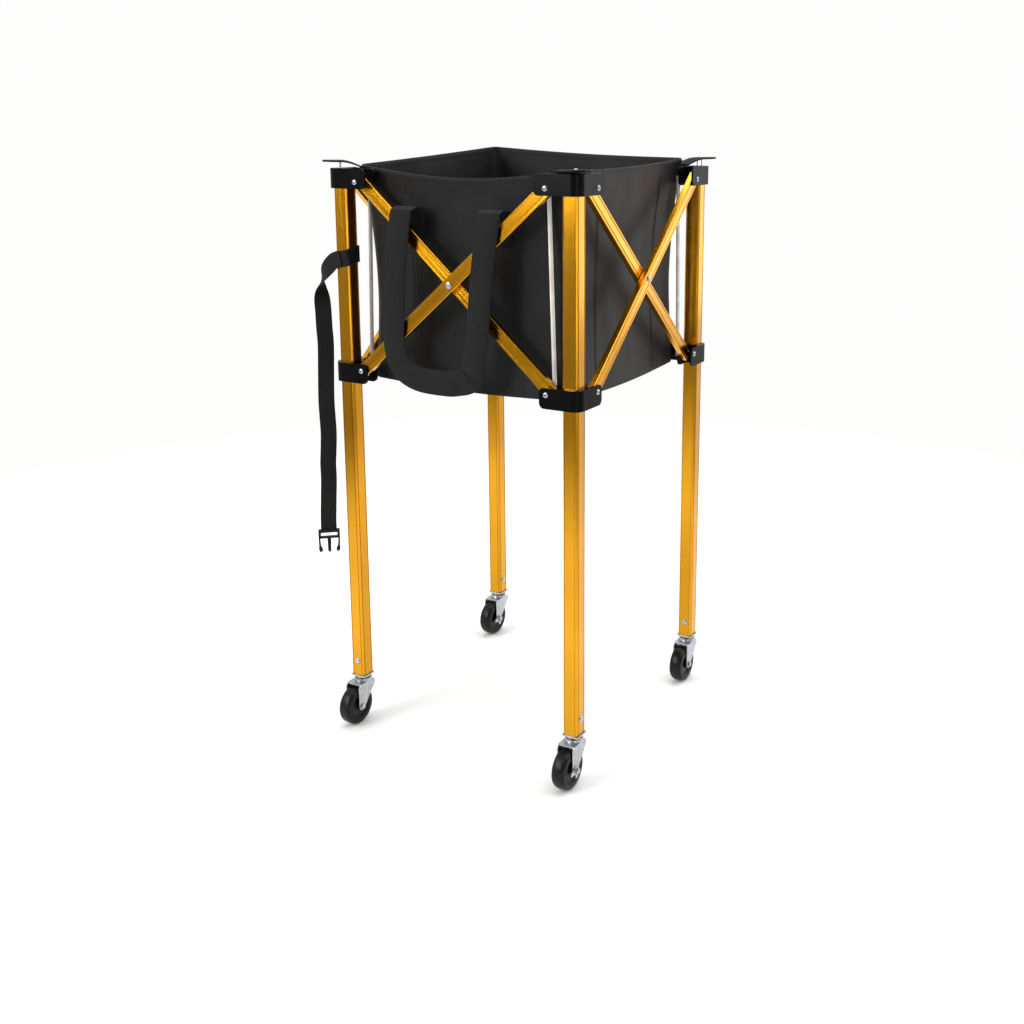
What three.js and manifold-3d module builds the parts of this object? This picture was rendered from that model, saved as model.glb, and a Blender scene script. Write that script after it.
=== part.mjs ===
// A folding ball cart: four aluminium legs on swivel casters, a pair of crossed bars on each side,
// corner brackets that hold the bars, and a nylon bag that hangs between the legs.
// Millimetres, +Z up. The front side faces -Y. Each corner is named by its place: front or rear,
// left (-X) or right (+X). Angles are in radians.
import * as THREE from "three";
import { mergeVertices } from "three/addons/utils/BufferGeometryUtils.js";
import Module from "manifold-3d";

const wasm = await Module();
wasm.setup();

// Driving dimensions of the frame
const CART_HEIGHT = 896; // floor to the top of the corner brackets
const LEG_SPACING = 400; // between the centre lines of neighbouring legs
const LEG_WIDTH = 24;
const LEG_WALL = 1.5;
const LEG_CHAMFER = 2;
const LEG_GROOVE = 1.6; // width of the two grooves in each face of a leg
const LEG_GROOVE_DEPTH = 0.8;
const LEG_GROOVE_INSET = 3.6; // from a leg's edge to the middle of a groove
const TOUCH_GAP = 0.3; // between pieces that touch or slide
const OVERRUN = 1; // how far a cutting tool runs past what it cuts

// Corner brackets
const BRACKET_HEIGHT = 30;
const BRACKET_OUTSIDE = 7; // from a leg's face to the bracket's outer face
const BRACKET_CORNER = 15; // radius round the leg's outer corner
const BRACKET_PLATE = 3; // thickness of the plates that hold the bars
const SLEEVE_WALL = 3;
const CAP_THICKNESS = 2.7; // top of an upper bracket, over the leg
const UPPER_ARM = 54; // from the leg's centre line to the end of an arm
const LOWER_ARM = 46;
const ARM_ROUND = 8;
const LOWER_BRACKET_BOTTOM = 570;
const PIVOT_INSET = 35; // from the leg's centre line to a bar's pivot
const PIVOT_FROM_EDGE = 10; // from the near edge of a bracket to the pivot
const PIN_RADIUS = 3;
const SCREW_HEAD_RADIUS = 4.2;
const SCREW_HEAD_HEIGHT = 1.6;

// Crossed bars, open channels with their backs to the bag
const BAR_WIDTH = 20;
const BAR_THICKNESS = 9;
const BAR_WALL = 1.5;
const BAR_GAP = 1; // between the outer and the inner bar of a side
const BAR_SIDE_GAP = 0.5; // between a bar and the bracket plate beside it
const BAR_GROOVE = 1.8;
const BAR_GROOVE_DEPTH = 0.9;
const BAR_GROOVE_INSET = 4; // from a bar's edge to the middle of a groove
const RIVET_RADIUS = 2.7;
const RIVET_HEAD_RADIUS = 5;
const RIVET_HEAD_HEIGHT = 1.4;

// Casters
const WHEEL_RADIUS = 31;
const WHEEL_WIDTH = 22;
const WHEEL_HUB_RADIUS = 8;
const WHEEL_RIM_RADIUS = 21; // where the tyre begins
const WHEEL_DISH = 2.5; // how far the wheel's side is sunk
const TYRE_SHOULDER = 4;
const WHEEL_SIDES = 20;
const CASTER_TRAIL = 20; // from the swivel line back to the axle
const AXLE_RADIUS = 2.9;
const AXLE_HEAD_RADIUS = 5;
const AXLE_HEAD_HEIGHT = 3;
const WHEEL_CLEARANCE = 4; // between the wheel and the fork's top
const FORK_PLATE = 2;
const FORK_WIDTH = 28;
const FORK_FRONT = 13; // from the swivel line to the fork's front edge
const FORK_REAR = 27; // and to its rear edge
const FORK_TIP_RADIUS = 7;
const FORK_SHOULDER = 8; // height of the cheek's straight front edge
const RACE_HEIGHT = 4.5;
const RACE_RADIUS = 14;
const UPPER_RACE_HEIGHT = 3.4; // up to the top plate
const UPPER_RACE_RADIUS = 12.5;
const KINGPIN_RADIUS = 4;
const KINGPIN_HEAD_RADIUS = 6;
const KINGPIN_HEAD_HEIGHT = 2.4;
const TOP_PLATE_WIDTH = 28;
const TOP_PLATE_THICKNESS = 2.5;
const TOP_PLATE_CORNER = 4;
const PLUG_HEIGHT = 50; // block inside the leg
const LEG_BOLT_RISE = 24; // from a leg's lower end to its bolt
const LEG_BOLT_RADIUS = 2.4;
const LEVER_THICKNESS = 2.5;
const LEVER_EYE_RADIUS = 6.5;
const LEVER_REACH = 15; // from the axle to the end of the lever's tab
const LEVER_TAB_WIDTH = 7;

// Bag
const BAG_CLEARANCE = 5; // between the brackets' inner plates and a wall at the rim
const BAG_CORNER = 20; // corner radius in plan
const BAG_CLOTH = 3; // cloth with its lining
const BAG_FLOOR_RISE = 4; // from the lower brackets' undersides to the walls' lower edges
const BAG_FLOOR_SAG = 14; // in the middle of the floor
const BAG_WAIST_SHARE = 0.045; // how far the walls draw in at the waist
const BAG_FOOT_SHARE = 0.05; // and at the floor
const BAG_HEM_SAG = 6; // of the walls' lower edges
const RIM_FRONT_LEFT = 5; // how far the rim stands above the brackets at each corner
const RIM_FRONT_RIGHT = 3;
const RIM_REAR_RIGHT = 13;
const RIM_REAR_LEFT = 27;
const SAG_FRONT = 15; // and how far it sags in the middle of each side
const SAG_RIGHT = 4;
const SAG_REAR = 3;
const SAG_LEFT = 1;
const WALL_STEPS = 12;
const WALL_RINGS = 5;
const FLOOR_STEPS = 8;
const FLAP_REACH = 222; // centre of the cart to the middle of a corner flap's tip, along X and Y
const FLAP_THICKNESS = 2;
const FLAP_ROOT_WIDTH = 56;
const FLAP_TIP_WIDTH = 28;
const FLAP_LIFT = 9; // of a flap's tip off its bracket
const FLAP_LIFT_FLAT = 2.5; // of the one that lies flat
const FLAP_LIFT_HIGH = 11; // and of the one that stands highest
const FLAP_STEPS = 4;

// Corner stays, pale rods between the brackets and the bag
const STAY_RADIUS = 2.5;
const STAY_DROP = 15; // from the brackets' tops to a stay's upper end
const STAY_RISE = 14; // from the lower brackets' undersides to its foot
const STAY_TOP_INSET = 46; // from the leg's centre line, along the side
const STAY_FOOT_INSET = 37;

// Carrying handles of webbing, one outside the front bars and one outside the rear bars
const WEBBING_THICKNESS = 2.5;
const HANDLE_WIDTH = 38;
const HANDLE_OFFSET = 20; // from the legs' centre plane to the middle of the webbing
const HANDLE_DROP = 54; // from the brackets' tops to the webbing's upper fold
const HANDLE_RISE = 20; // from the lower brackets' undersides to the loop's lowest run
const HANDLE_LEFT_TOP = -80;
const HANDLE_LEFT_LOW = -98;
const HANDLE_RIGHT_LOW = 44;
const HANDLE_RIGHT_TOP = 72;
const HANDLE_LEFT_BEND = 42; // how far up the left run its lower corner begins to turn
const HANDLE_RIGHT_BEND = 26;
const HANDLE_STEPS = 22;
const HANDLE_PATCH = 30; // height of the patch sewn to the bag's wall

// Tie strap on the front left leg, with a buckle half at its end
const STRAP_WIDTH = 25;
const STRAP_THICKNESS = 2.2;
const STRAP_HEIGHT = 762; // middle of the turn round the leg
const STRAP_SLANT = 0.18; // rise of the turn for each length across the leg
const STRAP_STEPS = 44;
const STRAP_TURN = 0.73; // angle of the hanging run's face, about Z
// Shares of the run where it twists over, and where the twist ends
const STRAP_TWIST_SHARES = [0.055, 0.225];
// The strap's route from the turn round the leg to the buckle: [x, y, z], with x and y from the leg
const STRAP_ROUTE = [
  [0, -15.4, 759.6], [-13, -15.2, 756.5], [-24, -14.6, 748], [-34, -13.6, 738], [-42, -12, 725],
  [-45.6, -10.5, 711], [-45.8, -9.5, 695], [-45.3, -8.5, 676], [-45, -8, 650], [-44.4, -7, 621],
  [-46.8, -6.5, 575], [-48.8, -6, 530], [-47, -6, 482], [-48.4, -6, 455], [-50.6, -6, 428],
  [-50.6, -6, 402], [-52.8, -6, 368], [-54.9, -6, 334], [-55, -6, 317.5],
];
const BUCKLE_WIDTH = 34;
const BUCKLE_BODY = 15; // height of the part with the slot
const BUCKLE_THICKNESS = 6;
const BUCKLE_SLOT_WIDTH = 26;
const BUCKLE_SLOT_HEIGHT = 6;
const BUCKLE_SLOT_INSET = 5.5; // from the top edge to the slot
const BUCKLE_PRONG = 23; // length of the side prongs
const BUCKLE_PRONG_WIDTH = 2.8;
const BUCKLE_BULB_WIDTH = 6.5;
const BUCKLE_BULB_HEIGHT = 11;
const BUCKLE_GUIDE = 23; // length of the middle prong
const BUCKLE_GUIDE_WIDTH = 6;

// Facets
const ROUND_SIDES = 10;
const PIN_SIDES = 8;
const CORNER_STEPS = 3;

// Places worked out from the sizes above
const LEG_HALF = LEG_WIDTH / 2;
const LEG_LINE = LEG_SPACING / 2;
const LEG_TOP = CART_HEIGHT - CAP_THICKNESS - TOUCH_GAP;
const AXLE_HEIGHT = WHEEL_RADIUS;
const FORK_TOP = 2 * WHEEL_RADIUS + WHEEL_CLEARANCE + FORK_PLATE;
const TOP_PLATE_BOTTOM = FORK_TOP + RACE_HEIGHT + TOUCH_GAP + UPPER_RACE_HEIGHT;
const CASTER_HEIGHT = TOP_PLATE_BOTTOM + TOP_PLATE_THICKNESS + TOUCH_GAP; // to a leg's lower end
const LEG_BOLT_HEIGHT = CASTER_HEIGHT + LEG_BOLT_RISE;
const BRACKET_OUTER = LEG_HALF + BRACKET_OUTSIDE;
const OUTER_PLATE_BACK = BRACKET_OUTER - BRACKET_PLATE;
const OUTER_BAR_FACE = OUTER_PLATE_BACK - BAR_SIDE_GAP;
const INNER_BAR_FACE = OUTER_BAR_FACE - BAR_THICKNESS - BAR_GAP;
const INNER_PLATE_FRONT = INNER_BAR_FACE - BAR_THICKNESS - BAR_SIDE_GAP;
const UPPER_PIVOT = CART_HEIGHT - BRACKET_HEIGHT + PIVOT_FROM_EDGE;
const LOWER_PIVOT = LOWER_BRACKET_BOTTOM + BRACKET_HEIGHT - PIVOT_FROM_EDGE;
const PIVOT_SPAN = LEG_SPACING - 2 * PIVOT_INSET;
const PIVOT_DROP = UPPER_PIVOT - LOWER_PIVOT;
const BAR_LENGTH = Math.hypot(PIVOT_SPAN, PIVOT_DROP); // between its end pivots
const BAR_ANGLE = Math.atan2(PIVOT_DROP, PIVOT_SPAN);
const CASTER_REACH = LEG_LINE + CASTER_TRAIL + WHEEL_RADIUS;
const FLAP_EDGE = FLAP_REACH + (FLAP_TIP_WIDTH / 2) * Math.SQRT1_2;
const BAG_HALF_WIDTH = LEG_LINE + INNER_PLATE_FRONT - BRACKET_PLATE - BAG_CLEARANCE;
const BAG_FLOOR = LOWER_BRACKET_BOTTOM + BAG_FLOOR_RISE;
const STAY_TOP = CART_HEIGHT - STAY_DROP;
const STAY_FOOT = LOWER_BRACKET_BOTTOM + STAY_RISE;
const HANDLE_TOP = CART_HEIGHT - HANDLE_DROP;
const HANDLE_BOTTOM = LOWER_BRACKET_BOTTOM + HANDLE_RISE;

// Corners in turn, each with the quarter turns that carry the front left corner to it, the rise of
// the bag's rim there, and how far its flap's tip is lifted off the bracket
const CORNERS = [
  { name: "front_left", turns: 0, x: -1, y: -1, lever: false, rise: RIM_FRONT_LEFT, lift: FLAP_LIFT },
  { name: "front_right", turns: 1, x: 1, y: -1, lever: true, rise: RIM_FRONT_RIGHT, lift: FLAP_LIFT_FLAT },
  { name: "rear_right", turns: 2, x: 1, y: 1, lever: false, rise: RIM_REAR_RIGHT, lift: FLAP_LIFT_HIGH },
  { name: "rear_left", turns: 3, x: -1, y: 1, lever: true, rise: RIM_REAR_LEFT, lift: FLAP_LIFT },
];
// Sides in turn, with how far the bag's rim sags in the middle of each
const SIDES = [
  { name: "front", turns: 0, sag: SAG_FRONT },
  { name: "right", turns: 1, sag: SAG_RIGHT },
  { name: "rear", turns: 2, sag: SAG_REAR },
  { name: "left", turns: 3, sag: SAG_LEFT },
];

function paint(color, roughness, metalness) {
  return () => new THREE.MeshStandardMaterial({ color, roughness, metalness });
}
const goldAluminium = paint(0xd79a17, 0.3, 0.9);
const blackPlastic = paint(0x15151a, 0.4, 0);
const zinc = paint(0xa8acb4, 0.35, 0.9);
const blackTyre = paint(0x141413, 0.6, 0);
const blackNylon = paint(0x202022, 0.6, 0);
const blackWebbing = paint(0x17171a, 0.8, 0);
const whitePlastic = paint(0xdedede, 0.4, 0);

// Solids from three.js geometries, for joining and cutting
function toSolid(geometry) {
  const bare = geometry.clone();
  bare.deleteAttribute("normal");
  bare.deleteAttribute("uv");
  const merged = mergeVertices(bare, 1e-4);
  return new wasm.Manifold(
    new wasm.Mesh({
      numProp: 3,
      vertProperties: merged.getAttribute("position").array,
      triVerts: new Uint32Array(merged.index.array),
    }),
  );
}

function toGeometry(solid) {
  const made = solid.getMesh();
  const geometry = new THREE.BufferGeometry();
  geometry.setAttribute("position", new THREE.BufferAttribute(made.vertProperties, 3));
  geometry.setIndex(new THREE.BufferAttribute(made.triVerts, 1));
  return geometry;
}

function join(first, ...others) {
  return toGeometry(others.reduce((sum, next) => sum.add(toSolid(next)), toSolid(first)));
}

function cut(first, ...tools) {
  return toGeometry(tools.reduce((left, tool) => left.subtract(toSolid(tool)), toSolid(first)));
}

function keepInside(first, ...limits) {
  return toGeometry(limits.reduce((left, limit) => left.intersect(toSolid(limit)), toSolid(first)));
}

function box(low, high) {
  const size = high.clone().sub(low);
  const middle = high.clone().add(low).multiplyScalar(0.5);
  return new THREE.BoxGeometry(size.x, size.y, size.z).translate(middle.x, middle.y, middle.z);
}

const at = (x, y, z) => new THREE.Vector3(x, y, z);

// A round bar between two points
function rod(radius, from, to, sides = ROUND_SIDES) {
  const way = to.clone().sub(from);
  const geometry = new THREE.CylinderGeometry(radius, radius, way.length(), sides);
  const turn = new THREE.Quaternion().setFromUnitVectors(at(0, 1, 0), way.clone().normalize());
  const middle = from.clone().add(to).multiplyScalar(0.5);
  return geometry.applyQuaternion(turn).translate(middle.x, middle.y, middle.z);
}

// An outline in X and Y, extruded up from a height
function prism(shape, bottom, height) {
  const settings = { depth: height, bevelEnabled: false, curveSegments: CORNER_STEPS };
  return new THREE.ExtrudeGeometry(shape, settings).translate(0, 0, bottom);
}

// An outline in X and Z, extruded along Y
function slab(shape, fromY, toY) {
  const settings = { depth: toY - fromY, bevelEnabled: false, curveSegments: CORNER_STEPS };
  return new THREE.ExtrudeGeometry(shape, settings).rotateX(Math.PI / 2).translate(0, toY, 0);
}

// An outline in Y and Z, extruded along X
function plate(shape, fromX, toX) {
  const settings = { depth: toX - fromX, bevelEnabled: false, curveSegments: CORNER_STEPS };
  const geometry = new THREE.ExtrudeGeometry(shape, settings);
  return geometry.rotateX(Math.PI / 2).rotateZ(Math.PI / 2).translate(fromX, 0, 0);
}

function outline(points) {
  return new THREE.Shape(points.map(([x, y]) => new THREE.Vector2(x, y)));
}

function squareOutline(half, corner) {
  const points = [];
  for (const [x, y] of [[1, -1], [1, 1], [-1, 1], [-1, -1]]) {
    const first = [x * half, y * (half - corner)];
    const second = [x * (half - corner), y * half];
    points.push(...(x * y > 0 ? [first, second] : [second, first]));
  }
  return outline(points);
}

// A slot outline with round ends, along X
function slotOutline(length, width) {
  const half = length / 2;
  const shape = new THREE.Shape();
  shape.absarc(half, 0, width / 2, -Math.PI / 2, Math.PI / 2, false);
  shape.absarc(-half, 0, width / 2, Math.PI / 2, (3 * Math.PI) / 2, false);
  shape.closePath();
  return shape;
}

// Leg, standing on its centre line
function legGeometry() {
  const body = squareOutline(LEG_HALF, LEG_CHAMFER);
  body.holes.push(squareOutline(LEG_HALF - LEG_WALL, LEG_CHAMFER));
  const tube = prism(body, CASTER_HEIGHT, LEG_TOP - CASTER_HEIGHT);
  const tools = [];
  const deep = LEG_HALF - LEG_GROOVE_DEPTH;
  const past = LEG_HALF + OVERRUN;
  for (let turn = 0; turn < 4; turn += 1) {
    for (const side of [-1, 1]) {
      const middle = side * (LEG_HALF - LEG_GROOVE_INSET);
      const low = at(middle - LEG_GROOVE / 2, deep, CASTER_HEIGHT - OVERRUN);
      const high = at(middle + LEG_GROOVE / 2, past, LEG_TOP + OVERRUN);
      tools.push(box(low, high).rotateZ((turn * Math.PI) / 2));
    }
  }
  const hole = LEG_BOLT_RADIUS + TOUCH_GAP;
  tools.push(rod(hole, at(0, -past, LEG_BOLT_HEIGHT), at(0, past, LEG_BOLT_HEIGHT)));
  return cut(tube, ...tools);
}

// Corner bracket: a sleeve on the leg, with two arms towards the neighbouring legs.
// The arms run along +X and +Y, and each is a pair of plates that hold the bars between them.
function bracketOutline(arm) {
  const sleeve = LEG_HALF + TOUCH_GAP + SLEEVE_WALL;
  const back = -OUTER_PLATE_BACK;
  const front = -INNER_PLATE_FRONT;
  const inside = front + BRACKET_PLATE;
  const shape = new THREE.Shape();
  shape.moveTo(-BRACKET_OUTER, arm);
  shape.lineTo(-BRACKET_OUTER, BRACKET_CORNER - BRACKET_OUTER);
  const round = BRACKET_CORNER - BRACKET_OUTER;
  shape.absarc(round, round, BRACKET_CORNER, Math.PI, (3 * Math.PI) / 2, false);
  const rest = [
    [arm, -BRACKET_OUTER], [arm, back], [sleeve, back], [sleeve, front], [arm, front],
    [arm, inside], [sleeve, inside], [sleeve, sleeve], [inside, sleeve], [inside, arm],
    [front, arm], [front, sleeve], [back, sleeve], [back, arm],
  ];
  rest.forEach(([x, y]) => shape.lineTo(x, y));
  shape.closePath();
  shape.holes.push(squareOutline(LEG_HALF + TOUCH_GAP, LEG_CHAMFER));
  return shape;
}

// Side view of a bracket, with the end of its arm rounded
function armOutline(arm, bottom) {
  const start = -BRACKET_OUTER - OVERRUN;
  const top = bottom + BRACKET_HEIGHT;
  const shape = new THREE.Shape();
  shape.moveTo(start, bottom);
  shape.lineTo(arm - ARM_ROUND, bottom);
  shape.absarc(arm - ARM_ROUND, bottom + ARM_ROUND, ARM_ROUND, -Math.PI / 2, 0, false);
  shape.absarc(arm - ARM_ROUND, top - ARM_ROUND, ARM_ROUND, 0, Math.PI / 2, false);
  shape.lineTo(start, top);
  shape.closePath();
  return shape;
}

function bracketGeometry(arm, bottom, pivot, capped) {
  const blank = prism(bracketOutline(arm), bottom, BRACKET_HEIGHT);
  const far = arm + OVERRUN;
  const near = -BRACKET_OUTER - OVERRUN;
  const side = armOutline(arm, bottom);
  const rounded = keepInside(blank, slab(side, near, far), plate(side, near, far));
  const pinEnd = BRACKET_PLATE - INNER_PLATE_FRONT;
  const headTop = -BRACKET_OUTER - SCREW_HEAD_HEIGHT;
  const headBack = -OUTER_PLATE_BACK;
  const pieces = [
    rod(PIN_RADIUS, at(PIVOT_INSET, headTop, pivot), at(PIVOT_INSET, pinEnd, pivot), PIN_SIDES),
    rod(PIN_RADIUS, at(headTop, PIVOT_INSET, pivot), at(pinEnd, PIVOT_INSET, pivot), PIN_SIDES),
    rod(SCREW_HEAD_RADIUS, at(PIVOT_INSET, headTop, pivot), at(PIVOT_INSET, headBack, pivot)),
    rod(SCREW_HEAD_RADIUS, at(headTop, PIVOT_INSET, pivot), at(headBack, PIVOT_INSET, pivot)),
  ];
  if (capped) {
    const lid = squareOutline(LEG_HALF + SLEEVE_WALL, LEG_CHAMFER);
    pieces.push(prism(lid, CART_HEIGHT - CAP_THICKNESS, CAP_THICKNESS));
  }
  return join(rounded, ...pieces);
}

// Bar: a channel with round ends, its grooved face towards -Y at Y = 0
function barGeometry() {
  const blank = slab(slotOutline(BAR_LENGTH, BAR_WIDTH), 0, BAR_THICKNESS);
  const far = BAR_THICKNESS + OVERRUN;
  const pocket = slab(slotOutline(BAR_LENGTH, BAR_WIDTH - 2 * BAR_WALL), BAR_WALL, far);
  const tools = [pocket];
  const holes = [
    [-BAR_LENGTH / 2, PIN_RADIUS],
    [0, RIVET_RADIUS],
    [BAR_LENGTH / 2, PIN_RADIUS],
  ];
  for (const [x, radius] of holes) {
    tools.push(rod(radius + TOUCH_GAP, at(x, -OVERRUN, 0), at(x, far, 0), PIN_SIDES));
  }
  for (const side of [-1, 1]) {
    const middle = side * (BAR_WIDTH / 2 - BAR_GROOVE_INSET);
    const low = at(-BAR_LENGTH / 2, -OVERRUN, middle - BAR_GROOVE / 2);
    const high = at(BAR_LENGTH / 2, BAR_GROOVE_DEPTH, middle + BAR_GROOVE / 2);
    tools.push(box(low, high));
  }
  return cut(blank, ...tools);
}

// Rivet where two bars cross, along Y, with Y = 0 on the legs' centre plane.
// Steps of [start, end, radius] from the outer head through the spacer to the inner head.
function rivetGeometry() {
  const outerFace = -OUTER_BAR_FACE;
  const innerFace = -INNER_BAR_FACE;
  const steps = [
    [outerFace - TOUCH_GAP - RIVET_HEAD_HEIGHT, outerFace - TOUCH_GAP, RIVET_HEAD_RADIUS],
    [outerFace - TOUCH_GAP, outerFace + BAR_WALL + TOUCH_GAP, RIVET_RADIUS],
    [outerFace + BAR_WALL + TOUCH_GAP, innerFace - TOUCH_GAP, RIVET_HEAD_RADIUS],
    [innerFace - TOUCH_GAP, innerFace + BAR_WALL + TOUCH_GAP, RIVET_RADIUS],
    [innerFace + BAR_WALL + TOUCH_GAP, innerFace + BAR_WALL + TOUCH_GAP + RIVET_HEAD_HEIGHT,
      RIVET_HEAD_RADIUS],
  ];
  return turned(steps);
}

// A stepped round piece along Y from steps of [start, end, radius]
function turned(steps) {
  const profile = [new THREE.Vector2(0, steps[0][0])];
  for (const [start, end, radius] of steps) {
    profile.push(new THREE.Vector2(radius, start), new THREE.Vector2(radius, end));
  }
  profile.push(new THREE.Vector2(0, steps[steps.length - 1][1]));
  return new THREE.LatheGeometry(profile, ROUND_SIDES);
}

// Fixed part of a caster: plug in the leg, cross bolt, top plate, upper race and kingpin
function casterPlateGeometry(boltAlongX) {
  const plateTop = CASTER_HEIGHT - TOUCH_GAP;
  const plateBottom = plateTop - TOP_PLATE_THICKNESS;
  const raceBottom = FORK_TOP + RACE_HEIGHT + TOUCH_GAP;
  const plugHalf = LEG_HALF - LEG_WALL - TOUCH_GAP;
  const pinBottom = FORK_TOP - FORK_PLATE - TOUCH_GAP;
  const boltEnd = LEG_HALF + TOUCH_GAP + SCREW_HEAD_HEIGHT;
  const headStart = LEG_HALF + TOUCH_GAP;
  const crossing = [
    rod(LEG_BOLT_RADIUS, at(0, -boltEnd, LEG_BOLT_HEIGHT), at(0, boltEnd, LEG_BOLT_HEIGHT)),
    rod(SCREW_HEAD_RADIUS, at(0, -boltEnd, LEG_BOLT_HEIGHT), at(0, -headStart, LEG_BOLT_HEIGHT)),
    rod(SCREW_HEAD_RADIUS, at(0, headStart, LEG_BOLT_HEIGHT), at(0, boltEnd, LEG_BOLT_HEIGHT)),
  ];
  if (boltAlongX) crossing.forEach((piece) => piece.rotateZ(Math.PI / 2));
  return join(
    prism(squareOutline(TOP_PLATE_WIDTH / 2, TOP_PLATE_CORNER), plateBottom, TOP_PLATE_THICKNESS),
    prism(squareOutline(plugHalf, LEG_CHAMFER), plateBottom, PLUG_HEIGHT),
    rod(UPPER_RACE_RADIUS, at(0, 0, raceBottom), at(0, 0, plateTop)),
    rod(KINGPIN_RADIUS, at(0, 0, pinBottom - KINGPIN_HEAD_HEIGHT), at(0, 0, plateTop), PIN_SIDES),
    rod(KINGPIN_HEAD_RADIUS, at(0, 0, pinBottom - KINGPIN_HEAD_HEIGHT), at(0, 0, pinBottom)),
    ...crossing,
  );
}

// Fork: a folded plate with two cheeks that taper to the axle, and the lower race on top
function forkGeometry() {
  const tip = { y: -CASTER_TRAIL, z: AXLE_HEIGHT };
  const shoulder = FORK_TOP - FORK_SHOULDER;
  const away = Math.hypot(FORK_FRONT - tip.y, shoulder - tip.z);
  const slant = Math.atan2(shoulder - tip.z, FORK_FRONT - tip.y);
  const tangent = slant - Math.acos(FORK_TIP_RADIUS / away);
  const side = new THREE.Shape();
  side.moveTo(FORK_FRONT, FORK_TOP);
  side.lineTo(-FORK_REAR, FORK_TOP);
  side.lineTo(tip.y - FORK_TIP_RADIUS, tip.z);
  side.absarc(tip.y, tip.z, FORK_TIP_RADIUS, Math.PI, 2 * Math.PI + tangent, false);
  side.lineTo(FORK_FRONT, shoulder);
  side.closePath();
  const half = FORK_WIDTH / 2;
  const inside = half - FORK_PLATE;
  const past = FORK_REAR + OVERRUN;
  const hollow = box(at(-inside, -past, 0), at(inside, past, FORK_TOP - FORK_PLATE));
  const axleHole = AXLE_RADIUS + TOUCH_GAP;
  const raceTop = FORK_TOP + RACE_HEIGHT;
  const race = rod(RACE_RADIUS, at(0, 0, FORK_TOP - FORK_PLATE), at(0, 0, raceTop));
  return cut(
    join(cut(plate(side, -half, half), hollow), race),
    rod(axleHole, at(-half - OVERRUN, tip.y, tip.z), at(half + OVERRUN, tip.y, tip.z)),
    rod(KINGPIN_RADIUS + TOUCH_GAP, at(0, 0, 0), at(0, 0, raceTop + OVERRUN), PIN_SIDES),
  );
}

// Wheel about its own axle along X. Its flats, not its corners, are a wheel's radius from the axle.
function wheelGeometry() {
  const bore = AXLE_RADIUS + TOUCH_GAP;
  const hub = FORK_WIDTH / 2 - FORK_PLATE - TOUCH_GAP;
  const half = WHEEL_WIDTH / 2;
  const tread = WHEEL_RADIUS / Math.cos(Math.PI / WHEEL_SIDES);
  const crown = half - TYRE_SHOULDER;
  const shoulder = tread - TYRE_SHOULDER;
  const profile = [
    [bore, -hub], [WHEEL_HUB_RADIUS, -hub], [WHEEL_HUB_RADIUS, WHEEL_DISH - half],
    [WHEEL_RIM_RADIUS, WHEEL_DISH - half], [WHEEL_RIM_RADIUS, -half], [shoulder, -half],
    [tread, -crown], [tread, crown],
    [shoulder, half], [WHEEL_RIM_RADIUS, half], [WHEEL_RIM_RADIUS, half - WHEEL_DISH],
    [WHEEL_HUB_RADIUS, half - WHEEL_DISH], [WHEEL_HUB_RADIUS, hub], [bore, hub], [bore, -hub],
  ];
  const points = profile.map(([radius, x]) => new THREE.Vector2(radius, x));
  return new THREE.LatheGeometry(points, WHEEL_SIDES)
    .rotateY(Math.PI / WHEEL_SIDES)
    .rotateZ(-Math.PI / 2);
}

// Axle bolt along X, with its heads outside the fork, and outside the lever where there is one
function axleGeometry(lever) {
  const cheek = FORK_WIDTH / 2 + TOUCH_GAP;
  const outer = cheek + (lever ? LEVER_THICKNESS + TOUCH_GAP : 0);
  return turned([
    [-cheek - AXLE_HEAD_HEIGHT, -cheek, AXLE_HEAD_RADIUS],
    [-cheek, outer, AXLE_RADIUS],
    [outer, outer + AXLE_HEAD_HEIGHT, AXLE_HEAD_RADIUS],
  ]).rotateZ(-Math.PI / 2);
}

// Brake lever about the axle, flat on the outside of the fork's right cheek
function leverGeometry() {
  const start = FORK_WIDTH / 2 + TOUCH_GAP;
  const end = start + LEVER_THICKNESS;
  const eye = rod(LEVER_EYE_RADIUS, at(start, 0, 0), at(end, 0, 0));
  const tab = box(at(start, -LEVER_REACH, -LEVER_TAB_WIDTH / 2), at(end, 0, LEVER_TAB_WIDTH / 2));
  const foot = box(at(start, -LEVER_TAB_WIDTH / 2, -LEVER_REACH / 2 - LEVER_TAB_WIDTH / 2),
    at(end, LEVER_TAB_WIDTH / 2, 0));
  const hole = rod(AXLE_RADIUS + TOUCH_GAP, at(start - OVERRUN, 0, 0), at(end + OVERRUN, 0, 0));
  return cut(join(eye, tab, foot), hole);
}

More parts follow.
